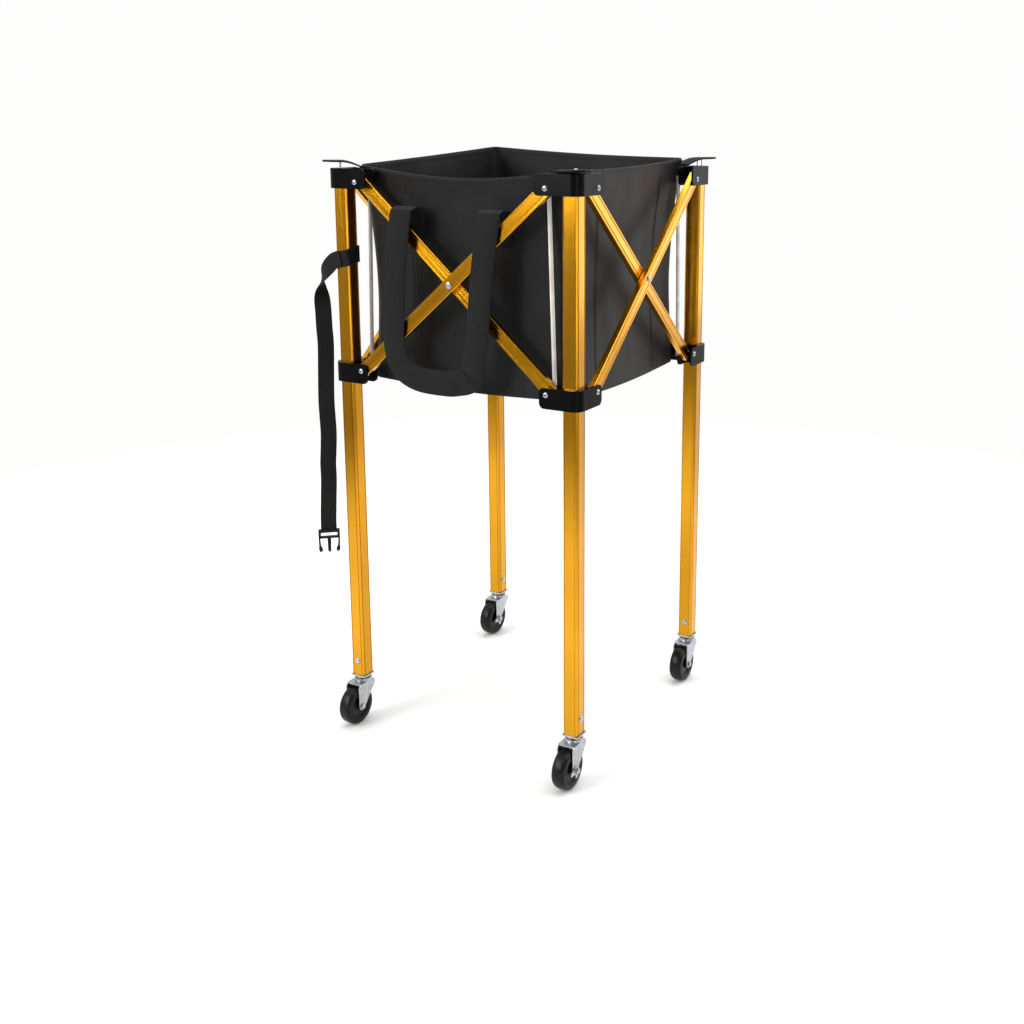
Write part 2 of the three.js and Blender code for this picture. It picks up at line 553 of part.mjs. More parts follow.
// A closed sheet between an outer and an inner surface, each given at shares along and up
function sheet(outer, inner, steps, rings) {
  const positions = [];
  const index = [];
  const row = steps + 1;
  const layer = row * (rings + 1);
  for (const surface of [outer, inner]) {
    for (let j = 0; j <= rings; j += 1) {
      for (let i = 0; i <= steps; i += 1) {
        positions.push(...surface(i / steps, j / rings).toArray());
      }
    }
  }
  const quad = (a, b, c, d) => index.push(a, b, c, a, c, d);
  for (let j = 0; j < rings; j += 1) {
    for (let i = 0; i < steps; i += 1) {
      const a = j * row + i;
      quad(a, a + 1, a + 1 + row, a + row);
      quad(layer + a, layer + a + row, layer + a + 1 + row, layer + a + 1);
    }
  }
  for (let i = 0; i < steps; i += 1) {
    const top = rings * row + i;
    quad(layer + i, layer + i + 1, i + 1, i);
    quad(top, top + 1, layer + top + 1, layer + top);
  }
  for (let j = 0; j < rings; j += 1) {
    const left = j * row;
    const right = left + steps;
    quad(layer + left, left, left + row, layer + left + row);
    quad(right, layer + right, layer + right + row, right + row);
  }
  const geometry = new THREE.BufferGeometry();
  geometry.setAttribute("position", new THREE.Float32BufferAttribute(positions, 3));
  geometry.setIndex(index);
  return geometry;
}

// Plan of the front wall, from one corner's diagonal to the other, at a share along it
function wallPlan(share, inset) {
  const radius = BAG_CORNER - inset;
  const flat = BAG_HALF_WIDTH - BAG_CORNER;
  const arc = (Math.PI / 4) * BAG_CORNER;
  const along = share * 2 * (flat + arc) - flat - arc;
  const turn = Math.max(0, Math.abs(along) - flat) / BAG_CORNER;
  const side = Math.sign(along);
  const x = side * (Math.min(Math.abs(along), flat) + radius * Math.sin(turn));
  const y = -(flat + radius * Math.cos(turn));
  return new THREE.Vector2(x, y);
}

// How much the bag is drawn in at a share of its height
function drawnIn(up) {
  return 1 - BAG_FOOT_SHARE * (1 - up) - BAG_WAIST_SHARE * Math.sin(Math.PI * up);
}

// A wall of the bag, as the front wall, with the rise of its rim at both ends and its sag between
function wallGeometry(riseStart, riseEnd, sag) {
  const surface = (inset, clear) => (along, up) => {
    const span = 1 - 2 * clear;
    const share = clear + span * (1 - Math.cos(Math.PI * along)) / 2;
    const plan = wallPlan(share, inset);
    const middle = Math.sin(Math.PI * share);
    const rim = CART_HEIGHT + riseStart + (riseEnd - riseStart) * share - sag * middle;
    const foot = BAG_FLOOR - BAG_HEM_SAG * middle;
    const scale = drawnIn(up);
    return at(plan.x * scale, plan.y * scale, foot + (rim - foot) * up);
  };
  const seamShare = TOUCH_GAP / (4 * BAG_HALF_WIDTH);
  return sheet(surface(0, seamShare), surface(BAG_CLOTH, seamShare), WALL_STEPS, WALL_RINGS);
}

// Height of the rim in the middle of a side
function middleRim(side) {
  const start = CORNERS[side.turns];
  const end = CORNERS[(side.turns + 1) % CORNERS.length];
  return CART_HEIGHT + (start.rise + end.rise) / 2 - side.sag;
}

// Half of the bag's floor, from the front wall to the middle
function floorGeometry() {
  const half = (BAG_HALF_WIDTH - BAG_CLOTH) * drawnIn(0) - 2 * TOUCH_GAP;
  const corner = BAG_CORNER + BAG_FLOOR_SAG;
  const surface = (drop) => (along, up) => {
    const y = -half + (half - TOUCH_GAP / 2) * (1 - Math.cos((Math.PI / 2) * up));
    const past = Math.max(0, -half + corner - y);
    const width = half - corner + Math.sqrt(Math.max(0, corner * corner - past * past));
    const x = (2 * along - 1) * width;
    const hollow = Math.cos((Math.PI * x) / (2 * half)) * Math.cos((Math.PI * y) / (2 * half));
    return at(x, y, BAG_FLOOR + BAG_CLOTH - drop - BAG_FLOOR_SAG * hollow);
  };
  return sheet(surface(0), surface(BAG_CLOTH), FLOOR_STEPS, WALL_RINGS);
}

// Corner flap of the bag, over the top of the front left bracket and up to its tip
function flapGeometry(tipLift) {
  const root = BAG_HALF_WIDTH - BAG_CORNER * (1 - Math.SQRT1_2) + TOUCH_GAP;
  const surface = (lift) => (across, along) => {
    const out = root + (FLAP_REACH - root) * along;
    const width = FLAP_ROOT_WIDTH + (FLAP_TIP_WIDTH - FLAP_ROOT_WIDTH) * along * along;
    const aside = ((across - 0.5) * width) * Math.SQRT1_2;
    const curl = tipLift * Math.sin((Math.PI / 2) * along);
    return at(-out - aside, -out + aside, CART_HEIGHT + TOUCH_GAP + curl + lift);
  };
  return sheet(surface(FLAP_THICKNESS), surface(0), FLAP_STEPS, FLAP_STEPS);
}

// Corner stay: a pale rod behind the arms of both brackets, beside the bag
function stayGeometry() {
  const depth = BRACKET_PLATE - INNER_PLATE_FRONT + TOUCH_GAP + STAY_RADIUS;
  const foot = at(depth, STAY_FOOT_INSET, STAY_FOOT);
  const top = at(depth, STAY_TOP_INSET, STAY_TOP);
  return rod(STAY_RADIUS, foot, top, PIN_SIDES);
}

// A flat band that follows a curve in the XZ plane, its middle at a given Y
function bandAlong(curve, width, thickness, steps) {
  const surface = (side) => (across, along) => {
    const point = curve.getPointAt(along);
    const way = curve.getTangentAt(along);
    const aside = (across - 0.5) * width;
    return at(point.x + way.z * aside, point.y + side * thickness * 0.5, point.z - way.x * aside);
  };
  return sheet(surface(-1), surface(1), 1, steps);
}

// Carrying handle: two runs of webbing that hang outside the bars and meet in a low loop
function handleGeometry(side) {
  const y = -HANDLE_OFFSET;
  const curve = new THREE.CatmullRomCurve3([
    at(HANDLE_LEFT_TOP, y, HANDLE_TOP),
    at((HANDLE_LEFT_TOP + HANDLE_LEFT_LOW) / 2, y, (HANDLE_TOP + HANDLE_BOTTOM) / 2),
    at(HANDLE_LEFT_LOW, y, HANDLE_BOTTOM + HANDLE_LEFT_BEND),
    at(HANDLE_LEFT_LOW + HANDLE_LEFT_BEND, y, HANDLE_BOTTOM),
    at(HANDLE_RIGHT_LOW - HANDLE_RIGHT_BEND, y, HANDLE_BOTTOM),
    at(HANDLE_RIGHT_LOW, y, HANDLE_BOTTOM + HANDLE_RIGHT_BEND),
    at((HANDLE_RIGHT_LOW + HANDLE_RIGHT_TOP) / 2, y, (HANDLE_TOP + HANDLE_BOTTOM) / 2),
    at(HANDLE_RIGHT_TOP, y, HANDLE_TOP),
  ]);
  const half = HANDLE_WIDTH / 2;
  const pieces = [bandAlong(curve, HANDLE_WIDTH, WEBBING_THICKNESS, HANDLE_STEPS)];
  for (const x of [HANDLE_LEFT_TOP, HANDLE_RIGHT_TOP]) {
    pieces.push(plate(handleTabOutline(middleRim(side)), x - half, x + half));
  }
  return join(...pieces);
}

// Side view of a handle's sewn tab: from the loop over the bars to a patch flat on the bag's wall
function handleTabOutline(rim) {
  const outer = -HANDLE_OFFSET - WEBBING_THICKNESS / 2;
  const bottom = HANDLE_TOP - HANDLE_PATCH;
  const wallAt = (height) => {
    const rings = (WALL_RINGS * (height - BAG_FLOOR)) / (rim - BAG_FLOOR);
    const below = Math.floor(rings);
    const scaleBelow = drawnIn(below / WALL_RINGS);
    const scaleAbove = drawnIn((below + 1) / WALL_RINGS);
    const scale = scaleBelow + (scaleAbove - scaleBelow) * (rings - below);
    return LEG_LINE - BAG_HALF_WIDTH * scale - TOUCH_GAP;
  };
  const low = wallAt(bottom);
  const high = wallAt(HANDLE_TOP);
  const under = HANDLE_TOP - WEBBING_THICKNESS;
  return outline([
    [outer, under], [high - WEBBING_THICKNESS, under], [low - WEBBING_THICKNESS, bottom],
    [low, bottom], [high, HANDLE_TOP], [outer, HANDLE_TOP],
  ]);
}

// Tie strap: a slanted turn of webbing round the leg, and the run that hangs beside it, which leaves the
// leg flat against its front face and turns over once on its way down
function strapGeometry() {
  const curve = new THREE.CatmullRomCurve3(STRAP_ROUTE.map(([x, y, z]) => at(x, y, z)));
  const [twistStart, twistEnd] = STRAP_TWIST_SHARES;
  const surface = (side) => (across, along) => {
    const way = curve.getTangentAt(along);
    const twist = THREE.MathUtils.smoothstep(along, twistStart, twistEnd);
    const facing = STRAP_TURN * twist;
    const aside = at(Math.sin(facing), -Math.cos(facing), 0).cross(way).normalize();
    aside.applyAxisAngle(way, Math.PI * twist);
    const out = aside.clone().cross(way).multiplyScalar(side * STRAP_THICKNESS * 0.5);
    return curve.getPointAt(along).addScaledVector(aside, (across - 0.5) * STRAP_WIDTH).add(out);
  };
  const run = sheet(surface(1), surface(-1), 1, STRAP_STEPS);
  const inside = LEG_HALF + TOUCH_GAP;
  const band = squareOutline(inside + STRAP_THICKNESS, LEG_CHAMFER);
  band.holes.push(squareOutline(inside, LEG_CHAMFER));
  const turn = prism(band, STRAP_HEIGHT - STRAP_WIDTH / 2, STRAP_WIDTH);
  turn.applyMatrix4(new THREE.Matrix4().makeShear(0, STRAP_SLANT, 0, STRAP_SLANT, 0, 0));
  return join(turn, run);
}

// Buckle half that hangs from the strap: a slotted bar, two springy prongs and a guide between them
function buckleGeometry() {
  const half = BUCKLE_WIDTH / 2;
  const inner = half - BUCKLE_PRONG_WIDTH;
  const bulb = half - BUCKLE_BULB_WIDTH;
  const tip = -BUCKLE_BODY - BUCKLE_PRONG;
  const guide = BUCKLE_GUIDE_WIDTH / 2;
  const right = [
    [half, 0], [half, tip + BUCKLE_BULB_HEIGHT / 2], [inner, tip], [bulb, tip + BUCKLE_BULB_HEIGHT],
    [inner, tip + BUCKLE_BULB_HEIGHT], [inner, -BUCKLE_BODY], [guide, -BUCKLE_BODY],
    [guide, -BUCKLE_BODY - BUCKLE_GUIDE],
  ];
  const left = right.map(([x, z]) => [-x, z]).reverse();
  const shape = outline([...left, ...right]);
  const slot = BUCKLE_SLOT_WIDTH / 2;
  const low = -BUCKLE_SLOT_INSET - BUCKLE_SLOT_HEIGHT;
  const high = -BUCKLE_SLOT_INSET;
  shape.holes.push(outline([[-slot, low], [slot, low], [slot, high], [-slot, high]]));
  return slab(shape, -BUCKLE_THICKNESS / 2, BUCKLE_THICKNESS / 2);
}

const cart = new THREE.Group();
cart.position.y = (CASTER_REACH - FLAP_EDGE) / 2; // the origin is under the middle of its outline

function add(parent, name, geometry, material) {
  const mesh = new THREE.Mesh(geometry, material());
  mesh.name = name;
  parent.add(mesh);
  return mesh;
}

const quarter = (turns) => (turns * Math.PI) / 2;

function addCorner(corner) {
  const post = new THREE.Group();
  post.position.set(corner.x * LEG_LINE, corner.y * LEG_LINE, 0);
  post.rotation.z = quarter(corner.turns);
  cart.add(post);
  const { name } = corner;
  add(post, `leg_${name}`, legGeometry(), goldAluminium);
  add(post, `upper_bracket_${name}`,
    bracketGeometry(UPPER_ARM, CART_HEIGHT - BRACKET_HEIGHT, UPPER_PIVOT, true), blackPlastic);
  add(post, `lower_bracket_${name}`,
    bracketGeometry(LOWER_ARM, LOWER_BRACKET_BOTTOM, LOWER_PIVOT, false), blackPlastic);
  add(post, `corner_stay_${name}`, stayGeometry(), whitePlastic);
  addCaster(corner);
}

function addCaster(corner) {
  const { name } = corner;
  const caster = new THREE.Group();
  caster.position.set(corner.x * LEG_LINE, corner.y * LEG_LINE, 0);
  cart.add(caster);
  add(caster, `caster_plate_${name}`, casterPlateGeometry(corner.turns % 2 === 1), zinc);
  add(caster, `caster_fork_${name}`, forkGeometry(), zinc);
  const axle = new THREE.Group();
  axle.position.set(0, -CASTER_TRAIL, AXLE_HEIGHT);
  caster.add(axle);
  add(axle, `wheel_${name}`, wheelGeometry(), blackTyre);
  add(axle, `axle_${name}`, axleGeometry(corner.lever), zinc);
  if (corner.lever) add(axle, `brake_lever_${name}`, leverGeometry(), zinc);
}

function addSide(side) {
  const face = new THREE.Group();
  face.rotation.z = quarter(side.turns);
  cart.add(face);
  const height = (UPPER_PIVOT + LOWER_PIVOT) / 2;
  const layers = [
    ["outer", OUTER_BAR_FACE, -BAR_ANGLE],
    ["inner", INNER_BAR_FACE, BAR_ANGLE],
  ];
  for (const [layer, depth, tilt] of layers) {
    const bar = add(face, `${layer}_bar_${side.name}`, barGeometry(), goldAluminium);
    bar.position.set(0, -LEG_LINE - depth, height);
    bar.rotation.y = tilt;
  }
  const rivet = add(face, `cross_rivet_${side.name}`, rivetGeometry(), zinc);
  rivet.position.set(0, -LEG_LINE, height);
}

function addBag() {
  for (const side of SIDES) {
    const start = CORNERS[side.turns];
    const end = CORNERS[(side.turns + 1) % CORNERS.length];
    const geometry = wallGeometry(start.rise, end.rise, side.sag);
    add(cart, `bag_wall_${side.name}`, geometry, blackNylon).rotation.z = quarter(side.turns);
  }
  add(cart, "bag_floor_front", floorGeometry(), blackNylon);
  add(cart, "bag_floor_rear", floorGeometry(), blackNylon).rotation.z = Math.PI;
  for (const corner of CORNERS) {
    const flap = add(cart, `bag_flap_${corner.name}`, flapGeometry(corner.lift), blackNylon);
    flap.rotation.z = quarter(corner.turns);
  }
  for (const side of SIDES.filter(({ turns }) => turns % 2 === 0)) {
    const face = new THREE.Group();
    face.rotation.z = quarter(side.turns);
    cart.add(face);
    const handle = add(face, `handle_${side.name}`, handleGeometry(side), blackWebbing);
    handle.position.y = -LEG_LINE;
  }
}

function addStrap() {
  const corner = new THREE.Group();
  corner.position.set(-LEG_LINE, -LEG_LINE, 0);
  cart.add(corner);
  add(corner, "tie_strap", strapGeometry(), blackWebbing);
  const buckle = add(corner, "strap_buckle", buckleGeometry(), blackPlastic);
  const [x, y, z] = STRAP_ROUTE[STRAP_ROUTE.length - 1];
  buckle.position.set(x, y, z - TOUCH_GAP);
  buckle.rotation.z = STRAP_TURN;
}

CORNERS.forEach(addCorner);
SIDES.forEach(addSide);
addBag();
addStrap();

export default cart;
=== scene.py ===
# A folding ball cart, dressed for rendering: gold legs and crossed bars, black corner brackets, swivel
# casters and a black cloth bag. Metres, +Z up. The front side faces -Y.
import math

import bmesh
import bpy
from mathutils import Matrix, Vector, noise


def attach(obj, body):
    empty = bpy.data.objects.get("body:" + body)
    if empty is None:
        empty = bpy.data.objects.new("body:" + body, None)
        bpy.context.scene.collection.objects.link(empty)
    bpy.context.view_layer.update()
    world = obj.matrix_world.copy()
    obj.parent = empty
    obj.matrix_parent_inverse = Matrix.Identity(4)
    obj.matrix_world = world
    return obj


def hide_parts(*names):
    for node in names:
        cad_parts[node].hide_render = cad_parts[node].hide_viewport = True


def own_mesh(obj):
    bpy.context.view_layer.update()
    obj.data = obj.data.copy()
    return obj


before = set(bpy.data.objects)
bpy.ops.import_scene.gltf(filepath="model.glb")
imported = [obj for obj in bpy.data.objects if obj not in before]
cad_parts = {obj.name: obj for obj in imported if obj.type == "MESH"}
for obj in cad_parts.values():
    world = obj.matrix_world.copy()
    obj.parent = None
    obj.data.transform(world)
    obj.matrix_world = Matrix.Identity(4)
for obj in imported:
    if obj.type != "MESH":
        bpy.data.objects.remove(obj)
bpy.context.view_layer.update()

# Sizes of the frame
CART_HEIGHT = 0.896
LEG_LINE = 0.200
LEG_WIDTH = 0.024
LEG_CHAMFER = 0.002
LEG_GROOVE = 0.0016
LEG_GROOVE_DEPTH = 0.0008
LEG_GROOVE_INSET = 0.0036
TOUCH_GAP = 0.0003
BRACKET_HEIGHT = 0.030
BRACKET_OUTSIDE = 0.007
BRACKET_CORNER = 0.015
BRACKET_PLATE = 0.003
SLEEVE_WALL = 0.003
CAP_THICKNESS = 0.0027
UPPER_ARM = 0.054
LOWER_ARM = 0.046
ARM_ROUND = 0.008
LOWER_BRACKET_BOTTOM = 0.570
PIVOT_INSET = 0.035
PIVOT_FROM_EDGE = 0.010
BAR_WIDTH = 0.020
BAR_THICKNESS = 0.009
BAR_WALL = 0.0015
BAR_GROOVE = 0.0018
BAR_GROOVE_DEPTH = 0.0009
BAR_GROOVE_INSET = 0.004
BAR_LIP = 0.0007
BAR_SIDE_GAP = 0.0005
BAR_END_SHARE = 0.4  # of a bar's width, past each of its pivots
OUTER_BAR_FACE = 0.0155
INNER_BAR_FACE = 0.0055
# Crossing rivet: radius, and height over the outer bar's face
RIVET_PROFILE = [
    (0, 0.0017), (0.0014, 0.0017), (0.0018, 0.0012), (0.0024, 0.0016), (0.0042, 0.0013), (0.0050, 0.0006),
    (0.0050, 0.0001), (0.0027, 0), (0.0027, -0.0165), (0.0046, -0.0166), (0.0046, -0.0174), (0, -0.0176),
]
WHEEL_RADIUS = 0.031
WHEEL_WIDTH = 0.022
# One side of the wheel: radius, and distance in from the tyre's side or from the hub's end
TYRE_SIDE = [
    (0.0218, 0.0008), (0.0225, 0), (0.0262, 0), (0.0285, 0.0008), (0.0300, 0.0028), (0.0308, 0.0058),
]
HUB_SIDE = [(0.0033, 0), (0.0078, 0), (0.0082, 0.0006)]
RIM_SIDE = [
    (0.0084, 0.0030), (0.0115, 0.0036), (0.0180, 0.0032), (0.0196, 0.0010), (0.0202, 0.0002),
    (0.0215, 0.0003), (0.0217, 0.0010),
]
CASTER_TRAIL = 0.020
WHEEL_CLEARANCE = 0.004
FORK_PLATE = 0.002
FORK_WIDTH = 0.028
FORK_FRONT = 0.013
FORK_REAR = 0.027
FORK_TIP_RADIUS = 0.007
FORK_SHOULDER = 0.008
FORK_FRONT_CUT = 0.003
FORK_REAR_CUT = 0.004
FORK_REAR_DROP = 0.006
CROWN_SIDE_INSET = 0.0005
CROWN_END_INSET = 0.003
CROWN_CORNER = 0.004
AXLE_RADIUS = 0.0029
AXLE_END = 0.003  # past the cheek or the lever
# Axle's head: radius, and height over the cheek
AXLE_HEAD = [(0, 0.003), (0.0022, 0.003), (0.0042, 0.0022), (0.005, 0.0008), (0.005, 0), (0, 0)]
NUT_RADIUS = 0.0048
NUT_HEIGHT = 0.0028
RACE_RADIUS = 0.014
RACE_HEIGHT = 0.0045
RACE_GROOVE = [(0, 0.0012), (0.0005, 0.0019), (0, 0.0026)]  # depth, and height over the fork
RACE_EDGE = [(0.0003, 0.0007), (0.0018, 0)]  # in from the rim, and down from the top
UPPER_RACE_HEIGHT = 0.0034
UPPER_RACE_RADIUS = 0.0125
UPPER_RACE_FOOT_RADIUS = 0.0115
UPPER_RACE_EDGE = 0.0012
TOP_PLATE_WIDTH = 0.028
TOP_PLATE_THICKNESS = 0.0025
TOP_PLATE_CORNER = 0.004
LEG_BOLT_RISE = 0.024
SCREW_HEAD_RADIUS = 0.0042
LEG_BOLT_HEAD_RADIUS = 0.0050
# Screw head: share of its radius, and height
SCREW_DOME = [
    (0, 0.0019), (0.28, 0.0019), (0.62, 0.0017), (0.88, 0.0011), (1, 0.0003), (1, -0.0005), (0, -0.0005),
]
SLOT_LENGTH = 0.0044
SLOT_WIDTH = 0.0006
SLOT_BOTTOM = 0.0014
SLOT_TOP = 0.00205
SLOT_TURN = 0.3
LEVER_THICKNESS = 0.0025
LEVER_EYE_RADIUS = 0.0065
LEVER_REACH = 0.015
LEVER_TAB_WIDTH = 0.007
LEVER_EYE_ANGLES = (math.radians(125), math.radians(-50))
LEVER_TIP_CUT = 0.002
LEVER_TIP_SHARE = 0.6  # of the tab's half width, where the cut at its tip begins
LEVER_FOOT_CUT = 0.0015
LEVER_HEEL_CUT = 0.001
LEVER_NECK = [(-0.0055, LEVER_TAB_WIDTH / 2), (-0.0040, 0.0052)]
LEVER_CROOK = [(-LEVER_TAB_WIDTH / 2, -0.0058), (-0.0064, -LEVER_TAB_WIDTH / 2)]
LEVER_EYE_FOOT = -0.0060
FLAP_REACH = 0.222
FLAP_TIP_WIDTH = 0.028
FLAP_ROOT_WIDTH = 0.056
FLAP_LIFT = 0.009
FLAP_LIFT_FLAT = 0.0025
FLAP_LIFT_HIGH = 0.011
FLAP_THICKNESS = 0.0028
FLAP_CURL_SHARE = 0.55  # of a flap's length, where its tip is at full height
FLAP_TIP_SHARE = 0.14  # of its length, over which the tip narrows
FLAP_NARROW_SHARE = 0.35  # of its width, taken off at the very tip
FLAP_DROOP = 0.0009
FLAP_EDGE_SHARE = 0.2  # of its half width, over which the edge thins
FLAP_EDGE_THINNING = 0.0006
FLAP_CLOTH_LENGTH = 0.065
FLAP_RIVET_SHARE = 0.62  # of its length, where the rivet sits
# Flap's rivet: radius, and height
FLAP_RIVET = [
    (0, 0.0016), (0.0010, 0.0016), (0.0021, 0.0010), (0.0024, 0.0002), (0.0024, -0.0008), (0, -0.0008),
]
FLAP_PIN_RADIUS = 0.0009
FLAP_PIN_INSET = 0.004
FLAP_PIN_ASIDE = 0.007

# Rounding of edges, and the angles from which an edge counts as sharp
LEG_BEVEL = 0.00022
BAR_BEVEL = 0.0002
BRACKET_BEVEL = 0.0007
PLATE_BEVEL = 0.0004
NUT_BEVEL = 0.0003
FORK_BEVEL = 0.0006
BUCKLE_BEVEL = 0.0006
BEVEL_ANGLE = math.radians(35)
SHARP_ANGLE = math.radians(38)
OVERRUN = 0.002  # how far a cutting shape runs past what it cuts

# Sizes of the bag, the handles and the strap
BAG_CLEARANCE = 0.005
BAG_CORNER = 0.020
RIM_FRONT_LEFT = 0.005
RIM_FRONT_RIGHT = 0.003
RIM_REAR_RIGHT = 0.013
RIM_REAR_LEFT = 0.027
SAG_FRONT = 0.015
SAG_RIGHT = 0.004
SAG_REAR = 0.003
SAG_LEFT = 0.001
BAG_FLOOR_RISE = 0.004
BAG_FLOOR_SAG = 0.014
BAG_WAIST_SHARE = 0.045
BAG_FOOT_SHARE = 0.05
BAG_HEM_SAG = 0.006
WALL_CLOTH = 0.0018
BAG_CLOTH = 0.003  # room for the cloth with its lining
FLOOR_CLOTH = 0.0026
FLOOR_RIPPLE = 0.0012
FLOOR_RIPPLES = 22  # to the metre
RIM_BINDING = 0.0045
RIM_BINDING_PROUD = 0.0008
RIM_BINDING_EDGE = 0.0016
RIM_ROUND = 0.0012
RIM_THINNING = 0.0009
WALL_SETBACK = 0.0012
WALL_SEED = 1.3
SEAM_WIDTH = 0.0016
SEAM_DEPTH = 0.0009
PANEL_SEAM_SHARE = 0.228  # of a wall's width, from each of its ends
STITCH_LENGTH = 0.0030
STITCH_PITCH = 0.0042
STITCH_THICKNESS = 0.00045
RIM_STITCH_RISE = 0.0012  # of the row on the binding, over the binding's lower edge
RIM_STITCH_PROUD = 0.0001
SEAM_STITCH_ASIDE = 0.0034
SEAM_STITCH_SHARES = (0.01, 0.92)  # of the wall's height: foot and length of a row
# Slack cloth: broad hollows, small wrinkles and draw lines from the corners
SLACK_HOLLOWS = 0.0032
SLACK_WRINKLES = 0.0011
SLACK_PULLS = 0.0016
SLACK_FOOT_SHARE = 0.08  # of the wall's height, held by the floor
SLACK_RIM_SHARE = 0.10  # and by the rim
STAY_RADIUS = 0.0031
STAY_DROP = 0.015
STAY_RISE = 0.014
STAY_TOP_INSET = 0.046
STAY_FOOT_INSET = 0.037
WEBBING = 0.0022
HANDLE_WIDTH = 0.038
HANDLE_OFFSET = 0.020
HANDLE_DROP = 0.054
HANDLE_RISE = 0.020
HANDLE_LEFT_TOP = -0.080
HANDLE_LEFT_LOW = -0.098
HANDLE_RIGHT_LOW = 0.044
HANDLE_RIGHT_TOP = 0.072
HANDLE_TAIL = 0.050  # sewn to the wall, below the fold
HANDLE_BEND = 0.004
HANDLE_WALL_GAP = 0.0016
HANDLE_WALL_SHARE = 0.94  # of the wall's height, where the tails' depth is taken
STRAP_WIDTH = 0.025
STRAP_HEIGHT = 0.762
STRAP_SLANT = 0.18
STRAP_TURN = 0.73
STRAP_TWIST_SHARES = (0.055, 0.225)
STRAP_ROUTE = [
    (0, -0.0154, 0.7596), (-0.013, -0.0152, 0.7565), (-0.024, -0.0146, 0.748), (-0.034, -0.0136, 0.738),
    (-0.042, -0.012, 0.725), (-0.0456, -0.0105, 0.711), (-0.0458, -0.0095, 0.695), (-0.0453, -0.0085, 0.676),
    (-0.045, -0.008, 0.650), (-0.0444, -0.007, 0.621), (-0.0468, -0.0065, 0.575), (-0.0488, -0.006, 0.530),
    (-0.047, -0.006, 0.482), (-0.0484, -0.006, 0.455), (-0.0506, -0.006, 0.428), (-0.0506, -0.006, 0.402),
    (-0.0528, -0.006, 0.368), (-0.0549, -0.006, 0.334), (-0.055, -0.006, 0.3175),
]
BUCKLE_WIDTH = 0.034
BUCKLE_BODY = 0.015
BUCKLE_THICKNESS = 0.006
BUCKLE_SLOT_WIDTH = 0.026
BUCKLE_SLOT_HEIGHT = 0.006
BUCKLE_SLOT_INSET = 0.0055
BUCKLE_PRONG = 0.023
BUCKLE_PRONG_WIDTH = 0.0028
BUCKLE_BULB_WIDTH = 0.0065
BUCKLE_BULB_HEIGHT = 0.011
BUCKLE_GUIDE = 0.023
BUCKLE_GUIDE_WIDTH = 0.006
BUCKLE_NECK_CUTS = (0.0004, 0.0006)  # at the prong's outer and inner edge
# Rounding of a prong's end: in from its outer or inner edge, and up from the tip
BUCKLE_BULB_OUTER = [(0, 0.0055), (0.0009, 0.0016), (0.0028, 0)]
BUCKLE_BULB_INNER = [(0.0010, 0.0012), (0, 0.0042)]
BUCKLE_GUIDE_SHARES = (0.85, 0.4)  # of the guide's width, where its end begins to round and at its end
BUCKLE_GUIDE_ROUND = 0.0020
BUCKLE_CORNER_CUT = 0.0008

LEG_HALF = LEG_WIDTH / 2
LEG_TOP = CART_HEIGHT - CAP_THICKNESS - TOUCH_GAP
FORK_TOP = 2 * WHEEL_RADIUS + WHEEL_CLEARANCE + FORK_PLATE
RACE_TOP = FORK_TOP + RACE_HEIGHT
TOP_PLATE_BOTTOM = RACE_TOP + TOUCH_GAP + UPPER_RACE_HEIGHT
CASTER_HEIGHT = TOP_PLATE_BOTTOM + TOP_PLATE_THICKNESS + TOUCH_GAP
LEG_BOLT_HEIGHT = CASTER_HEIGHT + LEG_BOLT_RISE
BRACKET_OUTER = LEG_HALF + BRACKET_OUTSIDE
OUTER_PLATE_BACK = BRACKET_OUTER - BRACKET_PLATE
INNER_PLATE_FRONT = INNER_BAR_FACE - BAR_THICKNESS - BAR_SIDE_GAP
UPPER_PIVOT = CART_HEIGHT - BRACKET_HEIGHT + PIVOT_FROM_EDGE
LOWER_PIVOT = LOWER_BRACKET_BOTTOM + BRACKET_HEIGHT - PIVOT_FROM_EDGE
PIVOT_SPAN = 2 * (LEG_LINE - PIVOT_INSET)
PIVOT_DROP = UPPER_PIVOT - LOWER_PIVOT
BAR_LENGTH = math.hypot(PIVOT_SPAN, PIVOT_DROP)
BAR_ANGLE = math.atan2(PIVOT_DROP, PIVOT_SPAN)
CASTER_REACH = LEG_LINE + CASTER_TRAIL + WHEEL_RADIUS
FLAP_EDGE = FLAP_REACH + FLAP_TIP_WIDTH / 2 * math.sqrt(0.5)
SHIFT = (CASTER_REACH - FLAP_EDGE) / 2
BAG_HALF_WIDTH = LEG_LINE + INNER_PLATE_FRONT - BRACKET_PLATE - BAG_CLEARANCE
BAG_FLOOR = LOWER_BRACKET_BOTTOM + BAG_FLOOR_RISE
STAY_TOP = CART_HEIGHT - STAY_DROP
STAY_FOOT = LOWER_BRACKET_BOTTOM + STAY_RISE
HANDLE_TOP = CART_HEIGHT - HANDLE_DROP
HANDLE_BOTTOM = LOWER_BRACKET_BOTTOM + HANDLE_RISE
CLOTH_SEAM = BAG_HALF_WIDTH - BAG_CORNER * (1 - math.sqrt(0.5))

# Camera: picture, lens and lens centre in pixels, place from the cart's middle, angles in radians
PHOTO_SIZE = 1024
LENS_PIXELS = 1174.16
LENS_CENTRE_X = 595.93
LENS_CENTRE_Y = 360
CAMERA_PLACE = (0.9994, -1.5842, 0.9573)
CAMERA_TILT = 0.1957  # down from level
CAMERA_ROLL = -0.0036
CAMERA_TURN = 0.5054

STUDIO_BACK = (-0.42, 0.79, 0.45)  # towards the bright half of the studio
FLOOR_REACH = 2.1
FLOOR_FADE_START = 0.9
